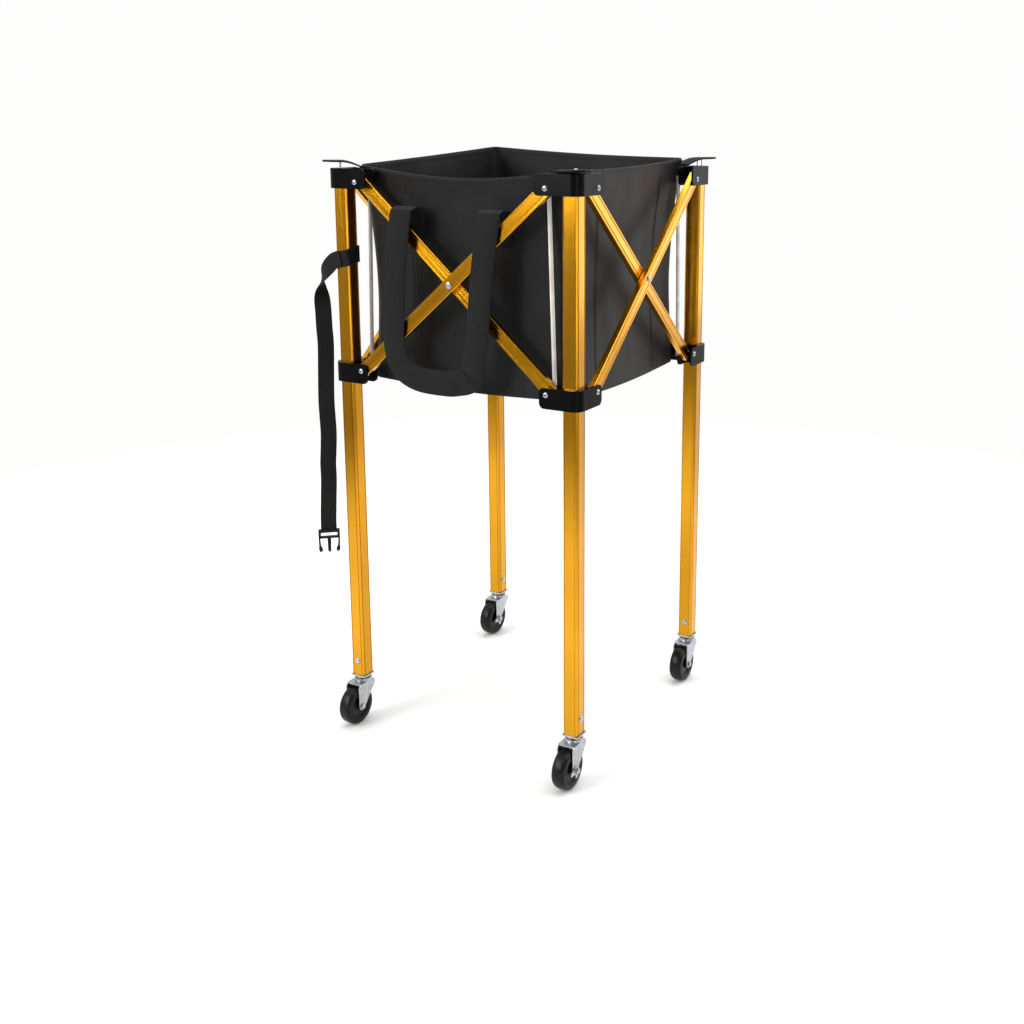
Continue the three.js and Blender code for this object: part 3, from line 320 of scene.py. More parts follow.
# Lamps: name, place, width, power in watts
LAMPS = [
    ("key", (-1.8, -2.4, 2.4), 1.4, 40),
    ("right", (2.4, 0.6, 1.7), 1.4, 14),
    ("top", (0.2, 0.4, 3.2), 2.4, 58),
    ("front", (-1.02, -2.55, 1.15), 0.7, 20),
    ("edge", (2.15, -1.8, 0.55), 1.0, 8),
    ("side", (1.62, 2.4, 0.75), 1.0, 5.5),
]
LAMP_AIM = (0, 0, 0.5)
# Weaves: spacing of the threads across and along, and depth
NYLON_WEAVE = (0.0011, 0.0011, 0.00016)
WEBBING_WEAVE = (0.0030, 0.0014, 0.00030)

# Corners in turn: name, quarter turns, side of the cart along X and Y, brake lever, rise of the rim,
# lift of the flap
CORNERS = [
    ("front_left", 0, -1, -1, False, RIM_FRONT_LEFT, FLAP_LIFT),
    ("front_right", 1, 1, -1, True, RIM_FRONT_RIGHT, FLAP_LIFT_FLAT),
    ("rear_right", 2, 1, 1, False, RIM_REAR_RIGHT, FLAP_LIFT_HIGH),
    ("rear_left", 3, -1, 1, True, RIM_REAR_LEFT, FLAP_LIFT),
]
# Sides in turn: name, quarter turns, sag of the rim
SIDES = [("front", 0, SAG_FRONT), ("right", 1, SAG_RIGHT), ("rear", 2, SAG_REAR), ("left", 3, SAG_LEFT)]
ALONG_X = Matrix(((0, 0, 1, 0), (1, 0, 0, 0), (0, 1, 0, 0), (0, 0, 0, 1)))
ALONG_Y = Matrix.Rotation(math.pi / 2, 4, "X")


def quarter_turns(turns):
    return Matrix.Rotation(turns * math.pi / 2, 4, "Z")


def moved_by(x, y, z):
    return Matrix.Translation((x, y, z))


def corner_place(turns, x, y):
    return moved_by(x * LEG_LINE, y * LEG_LINE + SHIFT, 0) @ quarter_turns(turns)


def side_place(turns):
    return moved_by(0, SHIFT, 0) @ quarter_turns(turns)


def new_object(name, data):
    item = bpy.data.objects.new(name, data)
    bpy.context.scene.collection.objects.link(item)
    return item


# Camera at the photograph's viewing angle
def add_camera():
    data = bpy.data.cameras.new("camera")
    camera = new_object("camera", data)
    data.sensor_width = 36
    data.lens = LENS_PIXELS / PHOTO_SIZE * data.sensor_width
    data.shift_x = (PHOTO_SIZE / 2 - LENS_CENTRE_X) / PHOTO_SIZE
    data.shift_y = (LENS_CENTRE_Y - PHOTO_SIZE / 2) / PHOTO_SIZE
    data.clip_start = 0.05
    data.clip_end = 100
    x, y, z = CAMERA_PLACE
    camera.location = (x, y + SHIFT, z)
    camera.rotation_euler = (math.pi / 2 - CAMERA_TILT, CAMERA_ROLL, CAMERA_TURN)
    bpy.context.scene.camera = camera


# Materials
def nodes_of(name):
    material = bpy.data.materials.new(name)
    material.use_nodes = True
    tree = material.node_tree
    return material, tree, tree.nodes["Principled BSDF"]


# A shader node with values and links on its sockets
def node(tree, kind, values, links):
    item = tree.nodes.new("ShaderNode" + kind)
    for socket, value in values.items():
        item.inputs[socket].default_value = value
    for socket, source in links.items():
        tree.links.new(source, item.inputs[socket])
    return item


def noise_node(tree, vector, scale, detail):
    values = {"Scale": scale, "Detail": detail, "Roughness": 0.55}
    return node(tree, "TexNoise", values, {"Vector": vector}).outputs["Fac"]


def ramp(tree, value, low, high, start=0.3, end=0.7):
    item = node(tree, "ValToRGB", {}, {"Fac": value})
    for element, position, colour in zip(item.color_ramp.elements, (start, end), (low, high)):
        element.position = position
        element.color = (*colour, 1)
    return item.outputs["Color"]


def spread(tree, value, low, high):
    return node(tree, "MapRange", {"To Min": low, "To Max": high}, {"Value": value}).outputs["Result"]


# Coordinates, first turned and then stretched
def mapped(tree, source="Object", scale=(1, 1, 1), rotation=(0, 0, 0)):
    coordinate = tree.nodes.new("ShaderNodeTexCoord").outputs[source]
    turned = node(tree, "Mapping", {"Rotation": rotation}, {"Vector": coordinate}).outputs["Vector"]
    return node(tree, "Mapping", {"Scale": scale}, {"Vector": turned}).outputs["Vector"]


def bump(tree, shader, height, distance, strength=1.0, below=None):
    links = {"Height": height}
    if below is not None:
        links["Normal"] = below
    normal = node(tree, "Bump", {"Distance": distance, "Strength": strength}, links).outputs["Normal"]
    tree.links.new(normal, shader.inputs["Normal"])
    return normal


# Colour and roughness of a shader
def dress(tree, shader, colour, roughness):
    tree.links.new(colour, shader.inputs["Base Color"])
    tree.links.new(roughness, shader.inputs["Roughness"])


# Anodised extrusion, with faint drawing lines along its length
def gold(name, rotation):
    material, tree, shader = nodes_of(name)
    shader.inputs["Metallic"].default_value = 1.0
    shader.inputs["Coat Weight"].default_value = 0.2
    shader.inputs["Coat Roughness"].default_value = 0.12
    lines = noise_node(tree, mapped(tree, scale=(1, 1, 0.004), rotation=rotation), 900, 2)
    cloudy = noise_node(tree, mapped(tree), 9, 3)
    colour = ramp(tree, cloudy, (0.58, 0.265, 0.006), (0.68, 0.325, 0.010))
    dress(tree, shader, colour, spread(tree, lines, 0.16, 0.24))
    bump(tree, shader, lines, 0.00022)
    return material


def plastic(name, colour, rough, shine=0.5):
    material, tree, shader = nodes_of(name)
    shader.inputs["Specular IOR Level"].default_value = shine
    grain = noise_node(tree, mapped(tree), 900, 3)
    cloudy = noise_node(tree, mapped(tree), 30, 4)
    light = tuple(part * 1.5 for part in colour)
    dress(tree, shader, ramp(tree, cloudy, colour, light), spread(tree, cloudy, rough * 0.8, rough * 1.35))
    bump(tree, shader, grain, 0.00006, 0.4)
    return material


def zinc_plate():
    material, tree, shader = nodes_of("zinc")
    shader.inputs["Metallic"].default_value = 1.0
    cloudy = noise_node(tree, mapped(tree), 120, 5)
    grain = noise_node(tree, mapped(tree), 1100, 2)
    colour = ramp(tree, cloudy, (0.36, 0.38, 0.41), (0.54, 0.56, 0.59))
    dress(tree, shader, colour, spread(tree, cloudy, 0.22, 0.42))
    bump(tree, shader, grain, 0.00005, 0.4)
    return material


def weave_height(tree, *spacings):
    waves = []
    for axis, spacing in zip("XY", spacings):
        values = {"Scale": math.pi / 10 / spacing, "Distortion": 0.4}
        wave = node(tree, "TexWave", values, {"Vector": mapped(tree, "UV")})
        wave.bands_direction = axis
        waves.append(wave.outputs["Fac"])
    both = node(tree, "Math", {}, {0: waves[0], 1: waves[1]})
    both.operation = "MULTIPLY"
    return both.outputs["Value"]


def cloth(name, colour, rough, spacing_u, spacing_v, depth):
    material, tree, shader = nodes_of(name)
    shader.inputs["Sheen Weight"].default_value = 0.04
    shader.inputs["Sheen Roughness"].default_value = 0.4
    shader.inputs["Specular IOR Level"].default_value = 0.2
    cloudy = noise_node(tree, mapped(tree), 14, 5)
    dusty = noise_node(tree, mapped(tree), 260, 3)
    light = tuple(part * 1.9 for part in colour)
    dress(tree, shader, ramp(tree, cloudy, colour, light), spread(tree, dusty, rough * 0.85, rough * 1.15))
    creases = noise_node(tree, mapped(tree, scale=(1, 1, 0.45)), 30, 3)
    under = bump(tree, shader, creases, 0.0016, 0.5)
    bump(tree, shader, weave_height(tree, spacing_u, spacing_v), depth, 0.8, under)
    return material


# Each look by its name: its material and its slot
def make_looks():
    across = BAR_ANGLE - math.pi / 2
    slots = {
        "gold_aluminium": {
            "leg": gold("gold_leg", (0, 0, 0)),
            "front_outer": gold("gold_bar_a", (0, across, 0)),
            "front_inner": gold("gold_bar_b", (0, -across, 0)),
            "side_outer": gold("gold_bar_c", (-across, 0, 0)),
            "side_inner": gold("gold_bar_d", (across, 0, 0)),
        },
        "black_plastic": {
            "bracket": plastic("black_plastic", (0.003, 0.003, 0.0034), 0.26, 0.06),
            "buckle": plastic("buckle_plastic", (0.003, 0.003, 0.0034), 0.32, 0.20),
        },
        "black_tyre": {
            "rim": plastic("wheel_rim", (0.004, 0.004, 0.004), 0.28, 0.20),
            "tyre": plastic("tyre_rubber", (0.0022, 0.0022, 0.0022), 0.30, 0.20),
        },
        "white_plastic": {"white": plastic("white_plastic", (0.62, 0.62, 0.60), 0.38)},
        "zinc": {"zinc": zinc_plate()},
        "black_nylon": {
            "nylon": cloth("black_nylon", (0.0056, 0.0056, 0.0059), 0.42, *NYLON_WEAVE),
            "hem": cloth("nylon_hem", (0.0010, 0.0010, 0.0011), 0.80, *NYLON_WEAVE),
            "thread": plastic("thread", (0.009, 0.009, 0.010), 0.6),
        },
        "black_webbing": {"webbing": cloth("black_webbing", (0.0035, 0.0035, 0.0038), 0.66, *WEBBING_WEAVE)},
    }
    return {name: (material, slot) for slot, looks in slots.items() for name, material in looks.items()}


LOOKS = make_looks()


# Shapes as (vertices, faces), with +Z up in their own place
def extruded(outline, low, high):
    count = len(outline)
    vertices = [Vector((x, y, z)) for z in (low, high) for x, y in outline]
    faces = [tuple(reversed(range(count))), tuple(range(count, 2 * count))]
    for i in range(count):
        j = (i + 1) % count
        faces.append((i, j, count + j, count + i))
    return vertices, faces


def lathe(profile, sides):
    vertices, faces, rings = [], [], []
    for radius, height in profile:
        if radius == 0:
            rings.append([len(vertices)])
            vertices.append(Vector((0, 0, height)))
            continue
        start = len(vertices)
        for i in range(sides):
            angle = 2 * math.pi * i / sides
            vertices.append(Vector((radius * math.cos(angle), radius * math.sin(angle), height)))
        rings.append(list(range(start, start + sides)))
    for low, high in zip(rings, rings[1:]):
        for i in range(sides):
            j = (i + 1) % sides
            a, b = low[i % len(low)], low[j % len(low)]
            c, d = high[j % len(high)], high[i % len(high)]
            face = [a]
            face += [v for v in (b, c, d) if v not in face]
            if len(face) > 2:
                faces.append(tuple(face))
    return vertices, faces


def moved(shape, matrix):
    vertices, faces = shape
    return [matrix @ v for v in vertices], faces


def merged(*shapes):
    vertices, faces = [], []
    for more, more_faces in shapes:
        start = len(vertices)
        vertices += more
        faces += [tuple(i + start for i in face) for face in more_faces]
    return vertices, faces


def rod(radius, start, end, sides=24):
    way = Vector(end) - Vector(start)
    shape = lathe([(0, 0), (radius, 0), (radius, way.length), (0, way.length)], sides)
    turn = Vector((0, 0, 1)).rotation_difference(way).to_matrix().to_4x4()
    return moved(shape, Matrix.Translation(start) @ turn)


def arc(x, y, radius, start, end, steps):
    points = []
    for i in range(steps + 1):
        angle = start + (end - start) * i / steps
        points.append((x + radius * math.cos(angle), y + radius * math.sin(angle)))
    return points


def rounded_box_outline(half_x, half_y, corner, steps=5):
    quarter = math.pi / 2
    points = []
    for turn, (x, y) in enumerate([(1, 1), (-1, 1), (-1, -1), (1, -1)]):
        points += arc(x * (half_x - corner), y * (half_y - corner), corner, turn * quarter,
                      (turn + 1) * quarter, steps)
    return points


# The points in reverse order, with x or y of the other sign
def mirrored(points, flip="x"):
    if flip == "x":
        return [(-x, y) for x, y in reversed(points)]
    return [(x, -y) for x, y in reversed(points)]


def new_mesh(name, vertices, faces):
    mesh = bpy.data.meshes.new(name)
    mesh.from_pydata(vertices, [], faces)
    return mesh


# Turns the faces of a closed mesh outwards, and rounds off its sharp edges where a bevel is given
def finish_mesh(mesh, bevel=0.0):
    work = bmesh.new()
    work.from_mesh(mesh)
    bmesh.ops.recalc_face_normals(work, faces=work.faces)
    if bevel:
        sharp = [e for e in work.edges if len(e.link_faces) == 2 and e.calc_face_angle(0) > BEVEL_ANGLE]
        bmesh.ops.bevel(work, geom=sharp, offset=bevel, segments=2, profile=0.5, affect="EDGES",
                        clamp_overlap=True)
    work.to_mesh(mesh)
    work.free()


def shape_of(mesh):
    return [v.co.copy() for v in mesh.vertices], [tuple(p.vertices) for p in mesh.polygons]


def softened(shape, bevel):
    mesh = new_mesh("softened", *shape)
    finish_mesh(mesh, bevel)
    done = shape_of(mesh)
    bpy.data.meshes.remove(mesh)
    return done


# Smooth normals that follow the larger faces, so that flat faces look flat right up to their rounded edges
def weigh_normals(mesh):
    faces_at = {}
    for polygon in mesh.polygons:
        for key in polygon.edge_keys:
            faces_at.setdefault(key, []).append(polygon.index)
    group = {(v, p.index): (v, p.index) for p in mesh.polygons for v in p.vertices}

    def find(item):
        while group[item] != item:
            item = group[item]
        return item

    for edge in mesh.edges:
        around = faces_at.get(tuple(sorted(edge.vertices)), [])
        if edge.use_edge_sharp or len(around) != 2:
            continue
        for v in edge.vertices:
            group[find((v, around[0]))] = find((v, around[1]))
    sums = {}
    for v, index in group:
        polygon = mesh.polygons[index]
        root = find((v, index))
        sums[root] = sums.get(root, Vector()) + polygon.normal * polygon.area
    normals = []
    for polygon in mesh.polygons:
        for v in polygon.vertices:
            total = sums[find((v, polygon.index))]
            normals.append(tuple(total.normalized()) if total.length > 0 else tuple(polygon.normal))
    mesh.normals_split_custom_set(normals)


# A new object from a shape
def make(name, shape, look, body, place=Matrix.Identity(4), bevel=0.0, replaces=(), uvs=None):
    material, slot = LOOKS[look]
    vertices, faces = softened(shape, bevel) if bevel else shape
    mesh = new_mesh(name, [place @ v for v in vertices], faces)
    if uvs is None:
        finish_mesh(mesh)
    else:
        layer = mesh.uv_layers.new(name="UVMap")
        for loop in mesh.loops:
            layer.data[loop.index].uv = uvs[loop.vertex_index]
    mesh.validate()
    mesh.materials.append(material)
    mesh.shade_smooth()
    mesh.set_sharp_from_angle(angle=SHARP_ANGLE)
    if uvs is None:
        weigh_normals(mesh)
    item = new_object(name, mesh)
    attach(item, body)
    if replaces:
        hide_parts(*replaces)
    return item


# A closed sheet between an outer and an inner surface, each given at shares along and up.
# size is the sheet's width and height, for the weave.
def shell(outer, inner, steps, rings, size):
    vertices, faces, uvs = [], [], []
    row = steps + 1
    layer = row * (rings + 1)
    for surface in (outer, inner):
        for j in range(rings + 1):
            for i in range(steps + 1):
                vertices.append(Vector(surface(i / steps, j / rings)))
                uvs.append((i / steps * size[0], j / rings * size[1]))
    for j in range(rings):
        for i in range(steps):
            a = j * row + i
            faces.append((a, a + 1, a + 1 + row, a + row))
            faces.append((layer + a, layer + a + row, layer + a + 1 + row, layer + a + 1))
    for i in range(steps):
        top = rings * row + i
        faces.append((layer + i, layer + i + 1, i + 1, i))
        faces.append((top, top + 1, layer + top + 1, layer + top))
    for j in range(rings):
        left = j * row
        right = left + steps
        faces.append((layer + left, left, left + row, layer + left + row))
        faces.append((right, layer + right, layer + right + row, right + row))
    return (vertices, faces), uvs


# Section of a band with thin edges, in shares of its half width and half thickness
BAND_SECTION_SHARES = [
    (-1, -0.35), (-0.94, -1), (0.94, -1), (1, -0.35), (1, 0.35), (0.94, 1), (-0.94, 1), (-1, 0.35),
]


# Webbing along a path: a flat band with thin edges. side_at(share, way) gives the direction across it.
def band(points, side_at, width, thickness):
    section = [(x * width / 2, y * thickness / 2) for x, y in BAND_SECTION_SHARES]
    vertices, faces, uvs = [], [], []
    count = len(section)
    total = path_length(points)
    run = 0.0
    for i, point in enumerate(points):
        ahead = points[min(i + 1, len(points) - 1)]
        behind = points[max(i - 1, 0)]
        way = (ahead - behind).normalized()
        if i:
            run += (point - points[i - 1]).length
        across = side_at(run / total, way)
        out = across.cross(way)
        for x, y in section:
            vertices.append(point + across * x + out * y)
            uvs.append((x, run))
    for i in range(len(points) - 1):
        for k in range(count):
            m = (k + 1) % count
            a, b = i * count, (i + 1) * count
            faces.append((a + m, a + k, b + k, b + m))
    faces.append(tuple(range(count)))
    last = (len(points) - 1) * count
    faces.append(tuple(range(last + count - 1, last - 1, -1)))
    return (vertices, faces), uvs


# Points of a smooth curve through the given ones
def smooth_path(points, steps):
    points = [Vector(p) for p in points]
    ends = [points[0] * 2 - points[1]] + points + [points[-1] * 2 - points[-2]]
    fine = []
    for i in range(1, len(ends) - 2):
        a, b, c, d = ends[i - 1:i + 3]
        for k in range(steps):
            t = k / steps
            fine.append(0.5 * (2 * b + (c - a) * t + (2 * a - 5 * b + 4 * c - d) * t * t
                               + (3 * b - a - 3 * c + d) * t ** 3))
    fine.append(points[-1])
    return fine


def path_length(points):
    return sum((b - a).length for a, b in zip(points, points[1:]))


# Legs and bars
def groove(half, inset, width, face, deep):
    near, far = half - inset - width / 2, half - inset + width / 2
    return [(near, face), (near, face + deep), (far, face + deep), (far, face)]


def leg_outline():
    half = LEG_HALF
    right = groove(half, LEG_GROOVE_INSET, LEG_GROOVE, -half, LEG_GROOVE_DEPTH)
    right.append((half - LEG_CHAMFER, -half))
    points = []
    for turn in range(4):
        matrix = Matrix.Rotation(turn * math.pi / 2, 2)
        points += [tuple(matrix @ Vector(p)) for p in mirrored(right) + right]
    return points


def bar_outline():
    half = BAR_WIDTH / 2
    right = groove(half, BAR_GROOVE_INSET, BAR_GROOVE, 0, BAR_GROOVE_DEPTH)
    right += [(half - BAR_LIP, 0), (half, BAR_LIP), (half, BAR_THICKNESS),
              (half - BAR_WALL, BAR_THICKNESS), (half - BAR_WALL, BAR_WALL)]
    return mirrored(right) + right


def add_leg(name, place, body):
    shape = extruded(leg_outline(), CASTER_HEIGHT, LEG_TOP)
    make(f"leg_profile_{name}", shape, "leg", body, place, LEG_BEVEL, [f"leg_{name}"])


def add_bars(side, turns):
    middle = (UPPER_PIVOT + LOWER_PIVOT) / 2
    half = BAR_LENGTH / 2 + BAR_WIDTH * BAR_END_SHARE
    plane = "front" if turns % 2 == 0 else "side"
    other = {"outer": "inner", "inner": "outer"}
    for layer, depth, tilt in (("outer", OUTER_BAR_FACE, -BAR_ANGLE), ("inner", INNER_BAR_FACE, BAR_ANGLE)):
        place = (side_place(turns) @ moved_by(0, -LEG_LINE - depth, middle)
                 @ Matrix.Rotation(tilt + math.pi / 2, 4, "Y"))
        shape = extruded(bar_outline(), -half, half)
        kind = layer if turns in (0, 1) else other[layer]
        make(f"{layer}_bar_profile_{side}", shape, f"{plane}_{kind}", f"{layer}_{side}_bar", place,
             BAR_BEVEL, [f"{layer}_bar_{side}"])
    rider = f"inner_{side}_bar" if side in ("front", "right") else f"outer_{side}_bar"
    front = -LEG_LINE - OUTER_BAR_FACE - TOUCH_GAP
    place = side_place(turns) @ moved_by(0, front, middle) @ ALONG_Y
    make(f"rivet_{side}", lathe(RIVET_PROFILE, 32), "zinc", rider, place, 0, [f"cross_rivet_{side}"])


# Corner brackets
def bracket_outline(arm):
    sleeve = LEG_HALF + TOUCH_GAP + SLEEVE_WALL
    inner_front = -INNER_PLATE_FRONT
    inside = inner_front + BRACKET_PLATE
    back = -OUTER_PLATE_BACK
    centre = BRACKET_CORNER - BRACKET_OUTER
    points = [(-BRACKET_OUTER, arm)]
    points += arc(centre, centre, BRACKET_CORNER, math.pi, 1.5 * math.pi, 12)
    points += [(arm, -BRACKET_OUTER), (arm, back), (sleeve, back), (sleeve, inner_front), (arm, inner_front),
               (arm, inside), (sleeve, inside), (sleeve, sleeve), (inside, sleeve), (inside, arm),
               (inner_front, arm), (inner_front, sleeve), (back, sleeve), (back, arm)]
    return points


def arm_outline(arm, bottom):
    start = -BRACKET_OUTER - OVERRUN
    top = bottom + BRACKET_HEIGHT
    points = [(start, bottom)]
    points += arc(arm - ARM_ROUND, bottom + ARM_ROUND, ARM_ROUND, -math.pi / 2, 0, 8)
    points += arc(arm - ARM_ROUND, top - ARM_ROUND, ARM_ROUND, 0, math.pi / 2, 8)
    points.append((start, top))
    return points


def plain_object(name, shape):
    mesh = new_mesh(name, *shape)
    finish_mesh(mesh)
    return new_object(name, mesh)


# What the first shape has in common with all the others
def common(first, *limits):
    base = plain_object("bracket_blank", first)
    cutters = [plain_object("bracket_limit", limit) for limit in limits]
    for cutter in cutters:
        keep = base.modifiers.new("keep", "BOOLEAN")
        keep.operation = "INTERSECT"
        keep.solver = "EXACT"
        keep.object = cutter
    bpy.context.view_layer.update()
    done = bpy.data.meshes.new_from_object(base.evaluated_get(bpy.context.evaluated_depsgraph_get()))
    for item in [base, *cutters]:
        bpy.data.objects.remove(item)
    return shape_of(done)


def bracket_shape(arm, bottom):
    far, near = arm + OVERRUN, -BRACKET_OUTER - OVERRUN
    side = arm_outline(arm, bottom)
    blank = extruded(bracket_outline(arm), bottom, bottom + BRACKET_HEIGHT)
    over_y = moved(extruded(side, -far, -near), ALONG_Y)
    over_x = moved(extruded(side, near, far), ALONG_X)
    return common(blank, over_y, over_x)


def screw_head(radius):
    return lathe([(radius * share, height) for share, height in SCREW_DOME], 32)


# Two crossed slots for a screw head, as thin blocks laid on its dome. They get black plastic: painted shade
# in place of recesses cut into the zinc.
def screw_slot_shade():
    x, y = SLOT_LENGTH / 2, SLOT_WIDTH / 2
    slot = extruded([(-x, -y), (x, -y), (x, y), (-x, y)], SLOT_BOTTOM, SLOT_TOP)
    turns = (SLOT_TURN, SLOT_TURN + math.pi / 2)
    return merged(*[moved(slot, Matrix.Rotation(turn, 4, "Z")) for turn in turns])


def add_bracket(name, place, body, level, pivot, shell_shape):
    make(f"{level}_bracket_shell_{name}", shell_shape, "bracket", body, place, BRACKET_BEVEL,
         [f"{level}_bracket_{name}"])
    heads, slots = [], []
    outwards = Matrix.Rotation(-math.pi / 2, 4, "Y")
    for matrix in (moved_by(PIVOT_INSET, -BRACKET_OUTER, pivot) @ ALONG_Y,
                   moved_by(-BRACKET_OUTER, PIVOT_INSET, pivot) @ outwards):
        heads.append(moved(screw_head(SCREW_HEAD_RADIUS), matrix))
        slots.append(moved(screw_slot_shade(), matrix))
    make(f"{level}_screws_{name}", merged(*heads), "zinc", body, place)
    # The slot blocks on the screw heads, in the bracket's black plastic: painted shade where the slots are
    make(f"{level}_screw_slot_shade_{name}", merged(*slots), "bracket", body, place)


# Casters
def fork_outline():
    tip = (-CASTER_TRAIL, WHEEL_RADIUS)
    shoulder = FORK_TOP - FORK_SHOULDER
    away = math.hypot(FORK_FRONT - tip[0], shoulder - tip[1])
    slant = math.atan2(shoulder - tip[1], FORK_FRONT - tip[0])
    tangent = slant - math.acos(FORK_TIP_RADIUS / away)
    points = [(FORK_FRONT - FORK_FRONT_CUT, FORK_TOP), (FORK_REAR_CUT - FORK_REAR, FORK_TOP),
              (-FORK_REAR, FORK_TOP - FORK_REAR_DROP)]
    points += arc(tip[0], tip[1], FORK_TIP_RADIUS, math.pi, 2 * math.pi + tangent, 14)
    points += [(FORK_FRONT, shoulder), (FORK_FRONT, FORK_TOP - FORK_FRONT_CUT)]
    return points


# Top plate with the upper race, and the bolt's two heads on the leg
def add_mount(name, place, turns):
    body = f"{name}_leg"
    top = CASTER_HEIGHT - TOUCH_GAP
    low = top - TOP_PLATE_THICKNESS
    foot = RACE_TOP + TOUCH_GAP
    half = TOP_PLATE_WIDTH / 2
    flat = softened(extruded(rounded_box_outline(half, half, TOP_PLATE_CORNER), low, top), PLATE_BEVEL)
    upper_race = lathe([(0, low), (UPPER_RACE_RADIUS, low), (UPPER_RACE_RADIUS, low - UPPER_RACE_EDGE),
                        (UPPER_RACE_FOOT_RADIUS, foot), (0, foot)], 40)
    bolts = []
    for sign in (-1, 1):
        turn = Matrix.Rotation(math.pi / 2 * -sign, 4, "X")
        matrix = moved_by(0, sign * (LEG_HALF + TOUCH_GAP), LEG_BOLT_HEIGHT) @ turn
        bolts.append(moved(screw_head(LEG_BOLT_HEAD_RADIUS), quarter_turns(turns % 2) @ matrix))
    plate = merged(flat, upper_race)
    make(f"caster_mount_{name}", plate, "zinc", body, place, 0, [f"caster_plate_{name}"])
    make(f"leg_bolts_{name}", merged(*bolts), "zinc", body, place)


# Fork with the lower race
def add_fork(name, place):
    body = f"{name}_caster"
    outer = FORK_WIDTH / 2
    parts = []
    for side in (-1, 1):
        inside, outside = sorted((side * (outer - FORK_PLATE), side * outer))
        parts.append(moved(extruded(fork_outline(), inside, outside), ALONG_X))
    length = (FORK_FRONT + FORK_REAR) / 2 - CROWN_END_INSET
    crown = extruded(rounded_box_outline(outer - CROWN_SIDE_INSET, length, CROWN_CORNER),
                     FORK_TOP - FORK_PLATE, FORK_TOP)
    parts.append(moved(crown, moved_by(0, (FORK_FRONT - FORK_REAR) / 2, 0)))
    make(f"fork_{name}", merged(*parts), "zinc", body, place, FORK_BEVEL, [f"caster_fork_{name}"])
    bowl = [(0, FORK_TOP), (RACE_RADIUS, FORK_TOP)]
    bowl += [(RACE_RADIUS - deep, FORK_TOP + up) for deep, up in RACE_GROOVE]
    bowl += [(RACE_RADIUS - deep, RACE_TOP - down) for deep, down in RACE_EDGE]
    bowl.append((0, RACE_TOP))
    make(f"race_{name}", lathe(bowl, 48), "zinc", body, place)


# Axle bolt, longer where a brake lever sits under its nut
def add_axle(name, place, lever):
    cheek = FORK_WIDTH / 2 + TOUCH_GAP
    far = cheek + (LEVER_THICKNESS + TOUCH_GAP if lever else 0)
    head = lathe([(radius, -cheek - height) for radius, height in AXLE_HEAD], 32)
    nut = extruded(arc(0, 0, NUT_RADIUS, 0, math.pi / 3 * 5, 5), far, far + NUT_HEIGHT)
    shaft = rod(AXLE_RADIUS, (0, 0, -cheek), (0, 0, far + AXLE_END))
    bolt = merged(head, softened(nut, NUT_BEVEL), shaft)
    make(f"axle_bolt_{name}", bolt, "zinc", f"{name}_caster", place, 0, [f"axle_{name}"])


def add_wheel(name, place):
    half = WHEEL_WIDTH / 2
    hub = FORK_WIDTH / 2 - FORK_PLATE - TOUCH_GAP
    side = [(radius, inwards - half) for radius, inwards in TYRE_SIDE]
    tyre = side[1:] + [(WHEEL_RADIUS, 0)] + mirrored(side, "y") + side[:2]
    side = [(radius, inwards - hub) for radius, inwards in HUB_SIDE]
    side += [(radius, inwards - half) for radius, inwards in RIM_SIDE]
    rim = side + mirrored(side, "y") + side[:1]
    body = f"{name}_wheel"
    make(f"tyre_{name}", lathe(tyre, 72), "tyre", body, place, 0, [f"wheel_{name}"])
    make(f"rim_{name}", lathe(rim, 72), "rim", body, place)


def add_lever(name, place):
    start = FORK_WIDTH / 2 + TOUCH_GAP
    end = start + LEVER_THICKNESS
    tab = LEVER_TAB_WIDTH / 2
    low = -LEVER_REACH / 2 - tab
    reach = LEVER_REACH
    points = [(-reach, -tab), (-reach, tab * LEVER_TIP_SHARE), (-reach + LEVER_TIP_CUT, tab), *LEVER_NECK]
    points += arc(0, 0, LEVER_EYE_RADIUS, *LEVER_EYE_ANGLES, 14)
    points += [(tab, LEVER_EYE_FOOT), (tab, low + LEVER_FOOT_CUT), (tab - LEVER_FOOT_CUT, low),
               (-tab + LEVER_HEEL_CUT, low), (-tab, low + LEVER_HEEL_CUT), *LEVER_CROOK]
    make(f"lever_{name}", extruded(points, start, end), "zinc", f"{name}_brake", place,
         PLATE_BEVEL, [f"brake_lever_{name}"])


def add_caster(name, place, turns, lever):
    upright = place @ quarter_turns(-turns)
    axle_place = upright @ moved_by(0, -CASTER_TRAIL, WHEEL_RADIUS) @ ALONG_X
    add_mount(name, upright, turns)
    add_fork(name, upright)
    add_axle(name, axle_place, lever)
    add_wheel(name, axle_place)
    if lever:
        add_lever(name, axle_place)


# Bag
def wall_plan(share, inset):
    radius = BAG_CORNER - inset
    flat = BAG_HALF_WIDTH - BAG_CORNER
    arc_length = math.pi / 4 * BAG_CORNER
    along = share * 2 * (flat + arc_length) - flat - arc_length
    turn = max(0.0, abs(along) - flat) / BAG_CORNER
    sign = math.copysign(1, along)
    x = sign * (min(abs(along), flat) + radius * math.sin(turn))
    return x, -(flat + radius * math.cos(turn))


def drawn_in(up):
    return 1 - BAG_FOOT_SHARE * (1 - up) - BAG_WAIST_SHARE * math.sin(math.pi * up)


def ease(value):
    value = min(1.0, max(0.0, value))
    return value * value * (3 - 2 * value)


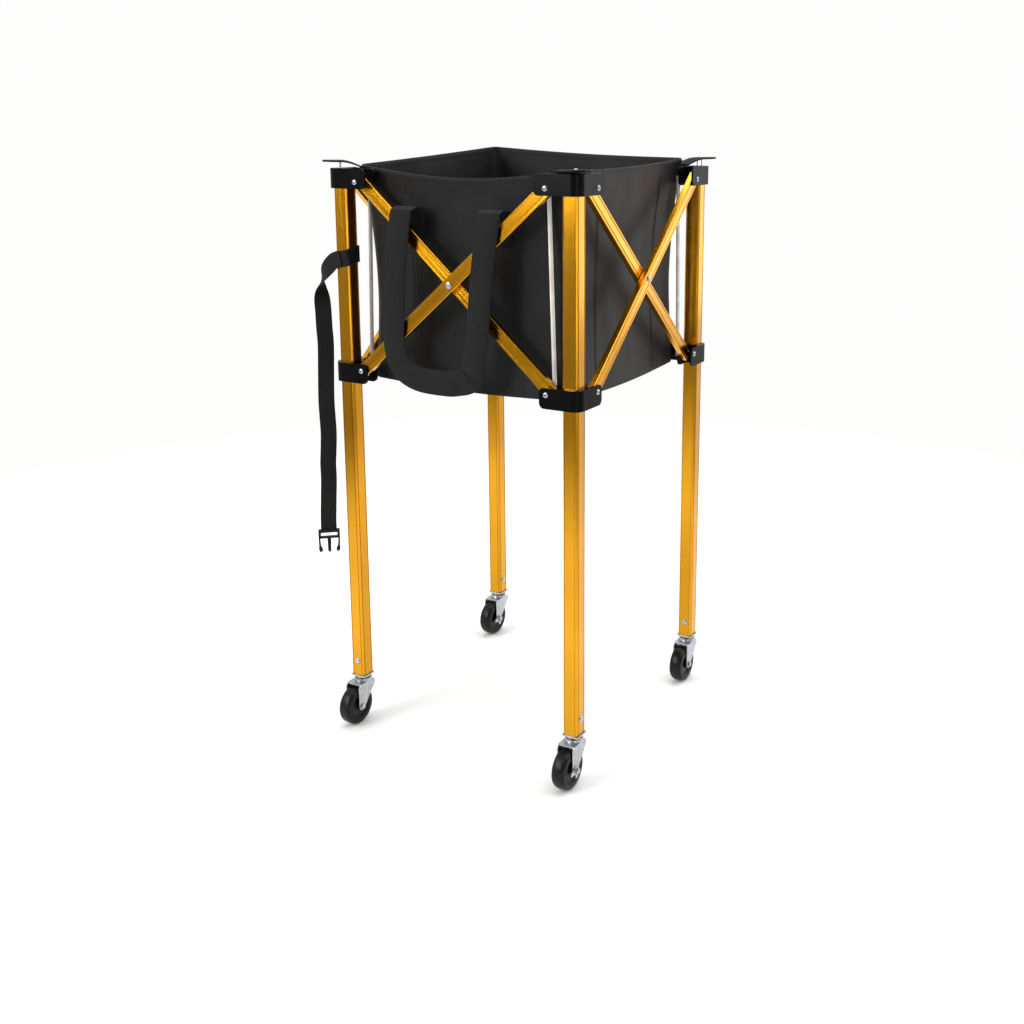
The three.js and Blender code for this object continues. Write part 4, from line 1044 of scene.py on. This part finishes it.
# How far the cloth stands in from the plain wall, at shares along and up the wall
def slack(share, up, seed):
    free = math.sin(math.pi * min(1, max(0, share))) ** 0.5
    free = free * ease(up / SLACK_FOOT_SHARE) * ease((1 - up) / SLACK_RIM_SHARE)
    broad = noise.noise(Vector((share * 3.1 + seed, up * 2.3, seed * 1.7)))
    small = noise.noise(Vector((share * 9 + seed * 2, up * 6 + seed, 4.2)))
    pulls = 0.0
    for corner, lean in ((0.0, 1), (1.0, -1)):
        across = abs(share - corner)
        line = (1 - up) * 0.75 + across
        fold = math.sin((1 - up) * 15 - across * 11 + seed * 3 * lean) * math.exp(-across * 5.5)
        pulls += fold * math.exp(-((line - 0.45) / 0.55) ** 2)
    return SLACK_HOLLOWS * free * broad + SLACK_WRINKLES * free * small + SLACK_PULLS * free * pulls


# The outer or inner face of a wall, whose rim rises at its two ends and sags between them
def wall_surface(rise_start, rise_end, sag, seed, inner):
    def surface(along, up):
        seam = TOUCH_GAP / (4 * BAG_HALF_WIDTH)
        share = seam + along * (1 - 2 * seam)
        middle = math.sin(math.pi * share)
        rim = CART_HEIGHT + rise_start + (rise_end - rise_start) * share - sag * middle
        foot = BAG_FLOOR - BAG_HEM_SAG * middle
        height = foot + (rim - foot) * up
        below_rim = rim - height
        bound = ease((RIM_BINDING + RIM_BINDING_EDGE / 2 - below_rim) / RIM_BINDING_EDGE)
        inset = WALL_CLOTH + RIM_BINDING_PROUD * bound if inner else -RIM_BINDING_PROUD * bound
        inset += WALL_SETBACK + slack(share, up, seed)
        edge = max(0.0, 1 - below_rim / RIM_ROUND)
        inset += (-1 if inner else 1) * RIM_THINNING * edge * edge
        from_seam = abs(abs(share - 0.5) - 0.5 + PANEL_SEAM_SHARE) * 2 * BAG_HALF_WIDTH
        if not inner:
            inset += SEAM_DEPTH * math.exp(-(from_seam / SEAM_WIDTH) ** 2)
        x, y = wall_plan(share, inset)
        scale = drawn_in(up)
        return x * scale, y * scale, height
    return surface


# Stitches along a line on a wall that faces -Y
def stitch_row(points):
    shapes = []
    half = STITCH_LENGTH / 2
    run, wanted = 0.0, STITCH_PITCH
    for a, b in zip(points, points[1:]):
        step = (b - a).length
        while run + step >= wanted and step > 0:
            here = a.lerp(b, (wanted - run) / step)
            way = (b - a).normalized()
            up = way.cross(Vector((0, -1, 0))).normalized()
            out = up.cross(way).normalized() * STITCH_THICKNESS
            ring = [here - way * half, here - way * half * 0.6 + out, here + way * half * 0.6 + out,
                    here + way * half]
            up = up * STITCH_THICKNESS
            vertices = [p + up for p in ring] + [p - up for p in ring]
            shapes.append((vertices, [(0, 1, 2, 3), (7, 6, 5, 4), (0, 4, 5, 1), (1, 5, 6, 2), (2, 6, 7, 3),
                                      (0, 3, 7, 4)]))
            wanted += STITCH_PITCH
        run += step
    return merged(*shapes)


def add_wall(side, turns, sag, body):
    place = side_place(turns)
    height = CART_HEIGHT - BAG_FLOOR
    width = 2 * BAG_HALF_WIDTH
    rise_start, rise_end = CORNERS[turns][5], CORNERS[(turns + 1) % len(CORNERS)][5]
    outer = wall_surface(rise_start, rise_end, sag, turns + WALL_SEED, False)
    inner = wall_surface(rise_start, rise_end, sag, turns + WALL_SEED, True)
    shape, uvs = shell(outer, inner, 110, 90, (width, height))
    wall = make(f"bag_{side}", shape, "nylon", body, place, 0, [f"bag_wall_{side}"], uvs)
    at_rim = 1 - (RIM_BINDING - RIM_STITCH_RISE) / height
    proud = Vector((0, -RIM_STITCH_PROUD, 0))
    rows = [stitch_row([Vector(outer(i / 160, at_rim)) + proud for i in range(161)])]
    foot, length = SEAM_STITCH_SHARES
    for share in (PANEL_SEAM_SHARE, 1 - PANEL_SEAM_SHARE):
        for aside in (-SEAM_STITCH_ASIDE, SEAM_STITCH_ASIDE):
            at = share + aside / width
            rows.append(stitch_row([Vector(outer(at, foot + length * i / 100)) for i in range(101)]))
    stitches = make(f"bag_stitches_{side}", merged(*rows), "thread", body, place)
    for item in (wall, stitches):
        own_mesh(item)


def add_floor(side, turns, body):
    half = (BAG_HALF_WIDTH - BAG_CLOTH) * drawn_in(0) - 2 * TOUCH_GAP
    corner = BAG_CORNER - BAG_CLOTH

    def surface_at(drop):
        def surface(along, up):
            y = -half + (half - TOUCH_GAP / 2) * up
            past = max(0.0, -half + corner - y)
            width = half - corner + math.sqrt(max(0.0, corner * corner - past * past))
            x = (2 * along - 1) * width
            hollow = math.cos(math.pi * x / (2 * half)) * math.cos(math.pi * y / (2 * half))
            spot = Vector((x * FLOOR_RIPPLES, y * FLOOR_RIPPLES, turns + 0.5))
            ripple = FLOOR_RIPPLE * noise.noise(spot) * hollow
            return x, y, BAG_FLOOR + BAG_CLOTH - drop - BAG_FLOOR_SAG * hollow + ripple
        return surface

    shape, uvs = shell(surface_at(0), surface_at(FLOOR_CLOTH), 70, 40, (2 * half, half))
    floor = make(f"floor_{side}", shape, "nylon", body, side_place(turns), 0, [f"bag_floor_{side}"], uvs)
    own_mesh(floor)


def flap_surface(tip_lift, thick):
    root = CLOTH_SEAM + TOUCH_GAP

    def surface(across, along):
        out = root + (FLAP_REACH - root) * along
        width = FLAP_ROOT_WIDTH + (FLAP_TIP_WIDTH - FLAP_ROOT_WIDTH) * along * along
        width *= 1 - FLAP_NARROW_SHARE * ease((along - (1 - FLAP_TIP_SHARE)) / FLAP_TIP_SHARE)
        edge = (across - 0.5) * 2
        aside = edge * width / 2 * math.sqrt(0.5)
        curl = tip_lift * math.sin(math.pi / 2 * min(1, along / FLAP_CURL_SHARE))
        droop = FLAP_DROOP * edge * edge * math.sin(math.pi * along)
        thin = FLAP_EDGE_THINNING * max(0.0, abs(edge) - (1 - FLAP_EDGE_SHARE)) / FLAP_EDGE_SHARE
        height = CART_HEIGHT + TOUCH_GAP + curl + thick - droop - (thin if thick else -thin)
        return -out - aside, -out + aside, height
    return surface


def add_flap(name, place, turns, tip_lift, body):
    centre = side_place(turns)
    upper, under = flap_surface(tip_lift, FLAP_THICKNESS), flap_surface(tip_lift, 0)
    shape, uvs = shell(upper, under, 22, 26, (FLAP_ROOT_WIDTH, FLAP_CLOTH_LENGTH))
    make(f"flap_{name}", shape, "hem", body, centre, 0, [f"bag_flap_{name}"], uvs)
    if tip_lift == FLAP_LIFT_FLAT:
        spot = centre @ Matrix.Translation(upper(0.5, FLAP_RIVET_SHARE))
        make(f"flap_rivet_{name}", lathe(FLAP_RIVET, 24), "zinc", body, spot)
        return
    pins = []
    for aside in (-FLAP_PIN_ASIDE, FLAP_PIN_ASIDE):
        spot = Vector((-FLAP_PIN_INSET + aside, -FLAP_PIN_INSET - aside, CART_HEIGHT))
        pins.append(rod(FLAP_PIN_RADIUS, spot, spot + Vector((0, 0, tip_lift)), 12))
    make(f"flap_pins_{name}", merged(*pins), "zinc", body, place)


def add_stay(name, place, body):
    depth = BRACKET_PLATE - INNER_PLATE_FRONT + TOUCH_GAP + STAY_RADIUS
    shape = rod(STAY_RADIUS, (depth, STAY_FOOT_INSET, STAY_FOOT), (depth, STAY_TOP_INSET, STAY_TOP))
    make(f"stay_{name}", shape, "white", body, place, 0, [f"corner_stay_{name}"])


# Carrying handle: webbing sewn to the wall, that runs over the bars and down in a loop
def add_handle(side, turns, body):
    y = -LEG_LINE - HANDLE_OFFSET
    wall = -(BAG_HALF_WIDTH * drawn_in(HANDLE_WALL_SHARE)) - HANDLE_WALL_GAP
    left, right = HANDLE_LEFT_TOP, HANDLE_RIGHT_TOP
    low_left, low_right = HANDLE_LEFT_LOW, HANDLE_RIGHT_LOW
    top, bottom = HANDLE_TOP, HANDLE_BOTTOM
    middle = (top + bottom) / 2

    # From the wall over the bars' front, spread a little outwards below
    def fold_at(x, spread_out):
        return [
            (x, wall, top - HANDLE_TAIL), (x, wall, top - 0.020), (x, wall - HANDLE_BEND, top - HANDLE_BEND),
            (x, (wall + y) / 2, top), (x, y + HANDLE_BEND, top - 0.003), (x + spread_out, y, top - 0.012),
        ]

    route = fold_at(left, -0.001) + [
        ((left + low_left) / 2 - 0.003, y, middle + 0.040), (low_left + 0.001, y, middle - 0.030),
        (low_left, y, bottom + 0.042), (low_left + 0.012, y, bottom + 0.014),
        (low_left + 0.042, y, bottom), ((low_left + low_right) / 2 + 0.02, y, bottom - 0.002),
        (low_right - 0.028, y, bottom + 0.001), (low_right - 0.007, y, bottom + 0.008),
        (low_right, y, bottom + 0.028), (low_right + 0.008, y, middle - 0.050),
        ((low_right + right) / 2 + 0.002, y, middle + 0.030),
    ] + fold_at(right, 0.001)[::-1]
    points = smooth_path(route, 9)
    fold = path_length([Vector(p) for p in route[:6]]) / path_length(points)

    # Level across the two folds, and square to the run between them
    def side_at(share, way):
        level = Vector((1, 0, 0)) if share < 0.5 else Vector((-1, 0, 0))
        loose = ease((min(share, 1 - share) - fold) / (fold * 0.7))
        flat = Vector((0, -1, 0)).cross(way)
        return level.lerp(flat, loose).normalized()

    shape, uvs = band(points, side_at, HANDLE_WIDTH, WEBBING)
    handle = make(f"webbing_handle_{side}", shape, "webbing", body,
                  side_place(turns), 0, [f"handle_{side}"], uvs)
    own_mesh(handle)


# Tie strap with its slanted turn round the leg, and the buckle half at its end
def add_strap(place):
    corner = place.translation
    points = [p + corner for p in smooth_path(STRAP_ROUTE, 8)]
    twist_start, twist_end = STRAP_TWIST_SHARES

    def across_at(share, way):
        twist = ease((share - twist_start) / (twist_end - twist_start))
        facing = STRAP_TURN * twist
        across = Vector((math.sin(facing), -math.cos(facing), 0)).cross(way).normalized()
        return Matrix.Rotation(math.pi * twist, 3, way) @ across

    body = "front_left_leg"
    shape, uvs = band(points, across_at, STRAP_WIDTH, WEBBING)
    strap = make("strap_run", shape, "webbing", body, replaces=["tie_strap"], uvs=uvs)
    reach = LEG_HALF + TOUCH_GAP + WEBBING / 2
    ring = [Vector((x, y, STRAP_HEIGHT + STRAP_SLANT * (x + y)))
            for x, y in rounded_box_outline(reach, reach, LEG_CHAMFER + TOUCH_GAP + WEBBING / 2, 4)]
    ring.append(ring[0])

    def upright(_, way):
        return (Vector((0, 0, 1)) - way * way.z).normalized()

    shape, ring_uvs = band(ring, upright, STRAP_WIDTH, WEBBING)
    make("strap_turn", shape, "webbing", body, place, uvs=ring_uvs)
    buckle = add_buckle(place)


def add_buckle(place):
    half = BUCKLE_WIDTH / 2
    inner, bulb = half - BUCKLE_PRONG_WIDTH, half - BUCKLE_BULB_WIDTH
    guide = BUCKLE_GUIDE_WIDTH / 2
    tip = -BUCKLE_BODY - BUCKLE_PRONG
    neck = tip + BUCKLE_BULB_HEIGHT
    end = -BUCKLE_BODY - BUCKLE_GUIDE
    outer_cut, inner_cut = BUCKLE_NECK_CUTS
    shoulder, nose = (guide * share for share in BUCKLE_GUIDE_SHARES)
    right = [(half, -BUCKLE_BODY), (half - outer_cut, neck)]
    right += [(half - aside, tip + up) for aside, up in BUCKLE_BULB_OUTER]
    right += [(bulb + aside, tip + up) for aside, up in BUCKLE_BULB_INNER]
    right += [(inner - inner_cut, neck), (inner, -BUCKLE_BODY), (guide, -BUCKLE_BODY),
              (shoulder, end + BUCKLE_GUIDE_ROUND), (nose, end)]
    slot = BUCKLE_SLOT_WIDTH / 2
    low, high = -BUCKLE_SLOT_INSET - BUCKLE_SLOT_HEIGHT, -BUCKLE_SLOT_INSET
    thick = BUCKLE_THICKNESS / 2
    cut = BUCKLE_CORNER_CUT
    outlines = [
        [(half, low), *right, *mirrored(right), (-half, low)],
        [(-half, high), (half, high), (half, -cut), (half - cut, 0), (cut - half, 0), (-half, -cut)],
        [(-half, low), (-slot, low), (-slot, high), (-half, high)],
        [(slot, low), (half, low), (half, high), (slot, high)],
    ]
    plates = [extruded(outline, -thick, thick) for outline in outlines]
    x, y, z = STRAP_ROUTE[-1]
    spot = place @ moved_by(x, y, z - TOUCH_GAP) @ Matrix.Rotation(STRAP_TURN, 4, "Z") @ ALONG_Y
    return make("buckle_half", merged(*plates), "buckle", "front_left_leg", spot,
                BUCKLE_BEVEL, ["strap_buckle"])


def add_cart():
    upper_shell = bracket_shape(UPPER_ARM, CART_HEIGHT - BRACKET_HEIGHT)
    lower_shell = bracket_shape(LOWER_ARM, LOWER_BRACKET_BOTTOM)
    add_strap(corner_place(0, -1, -1))
    for name, turns, x, y, lever, _, tip_lift in CORNERS:
        place = corner_place(turns, x, y)
        body = f"{name}_leg"
        add_leg(name, place, body)
        add_bracket(name, place, body, "upper", UPPER_PIVOT, upper_shell)
        add_bracket(name, place, f"{name}_slider", "lower", LOWER_PIVOT, lower_shell)
        add_stay(name, place, body)
        add_flap(name, place, turns, tip_lift, body)
        add_caster(name, place, turns, lever)
    carriers = ("front_left_leg", "front_right_leg", "rear_left_leg", "front_left_leg")
    for side, turns, sag in SIDES:
        add_bars(side, turns)
        add_wall(side, turns, sag, carriers[turns])
    add_floor("front", 0, "front_floor")
    add_floor("rear", 2, "rear_floor")
    add_handle("front", 0, "front_left_leg")
    add_handle("rear", 2, "rear_left_leg")


# White floor that fades into the backdrop
def add_floor_sheet():
    edge = FLOOR_REACH
    corners = [(-edge, -edge, 0), (edge, -edge, 0), (edge, edge, 0), (-edge, edge, 0)]
    mesh = new_mesh("studio_floor", corners, [(0, 1, 2, 3)])
    floor = new_object("studio_floor", mesh)
    material, tree, shader = nodes_of("studio_floor")
    shader.inputs["Roughness"].default_value = 0.9
    shader.inputs["Specular IOR Level"].default_value = 0.1
    pale = ramp(tree, noise_node(tree, mapped(tree), 3, 2), (0.91, 0.91, 0.90), (0.94, 0.94, 0.93))
    tree.links.new(pale, shader.inputs["Base Color"])
    distance = node(tree, "VectorMath", {}, {0: mapped(tree)})
    distance.operation = "LENGTH"
    values = {"From Min": FLOOR_FADE_START, "From Max": FLOOR_REACH, "To Min": 1, "To Max": 0}
    fade = node(tree, "MapRange", values, {"Value": distance.outputs["Value"]})
    fade.interpolation_type = "SMOOTHSTEP"
    tree.links.new(fade.outputs["Result"], shader.inputs["Alpha"])
    mesh.materials.append(material)


# Backdrop that is bright behind the cart and dark behind the camera
def add_backdrop():
    world = bpy.data.worlds.new("studio")
    bpy.context.scene.world = world
    world.use_nodes = True
    tree = world.node_tree
    coordinate = tree.nodes.new("ShaderNodeTexCoord")
    facing = node(tree, "VectorMath", {1: STUDIO_BACK}, {0: coordinate.outputs["Generated"]})
    facing.operation = "DOT_PRODUCT"
    shade = node(tree, "MapRange", {"From Min": -1}, {"Value": facing.outputs["Value"]})
    sky = ramp(tree, shade.outputs["Result"], (0.30, 0.30, 0.30), (0.99, 0.99, 0.985), 0.30, 0.66)
    tree.links.new(sky, tree.nodes["Background"].inputs["Color"])


def add_lamps():
    for name, spot, size, power in LAMPS:
        data = bpy.data.lights.new(name, "AREA")
        data.shape = "SQUARE"
        data.size = size
        data.energy = power
        lamp = new_object(name, data)
        lamp.location = spot
        aim = Vector(LAMP_AIM) - Vector(spot)
        lamp.rotation_euler = aim.to_track_quat("-Z", "Y").to_euler()
    bpy.context.scene.view_settings.view_transform = "Standard"


add_camera()
add_cart()
add_floor_sheet()
add_backdrop()
add_lamps()
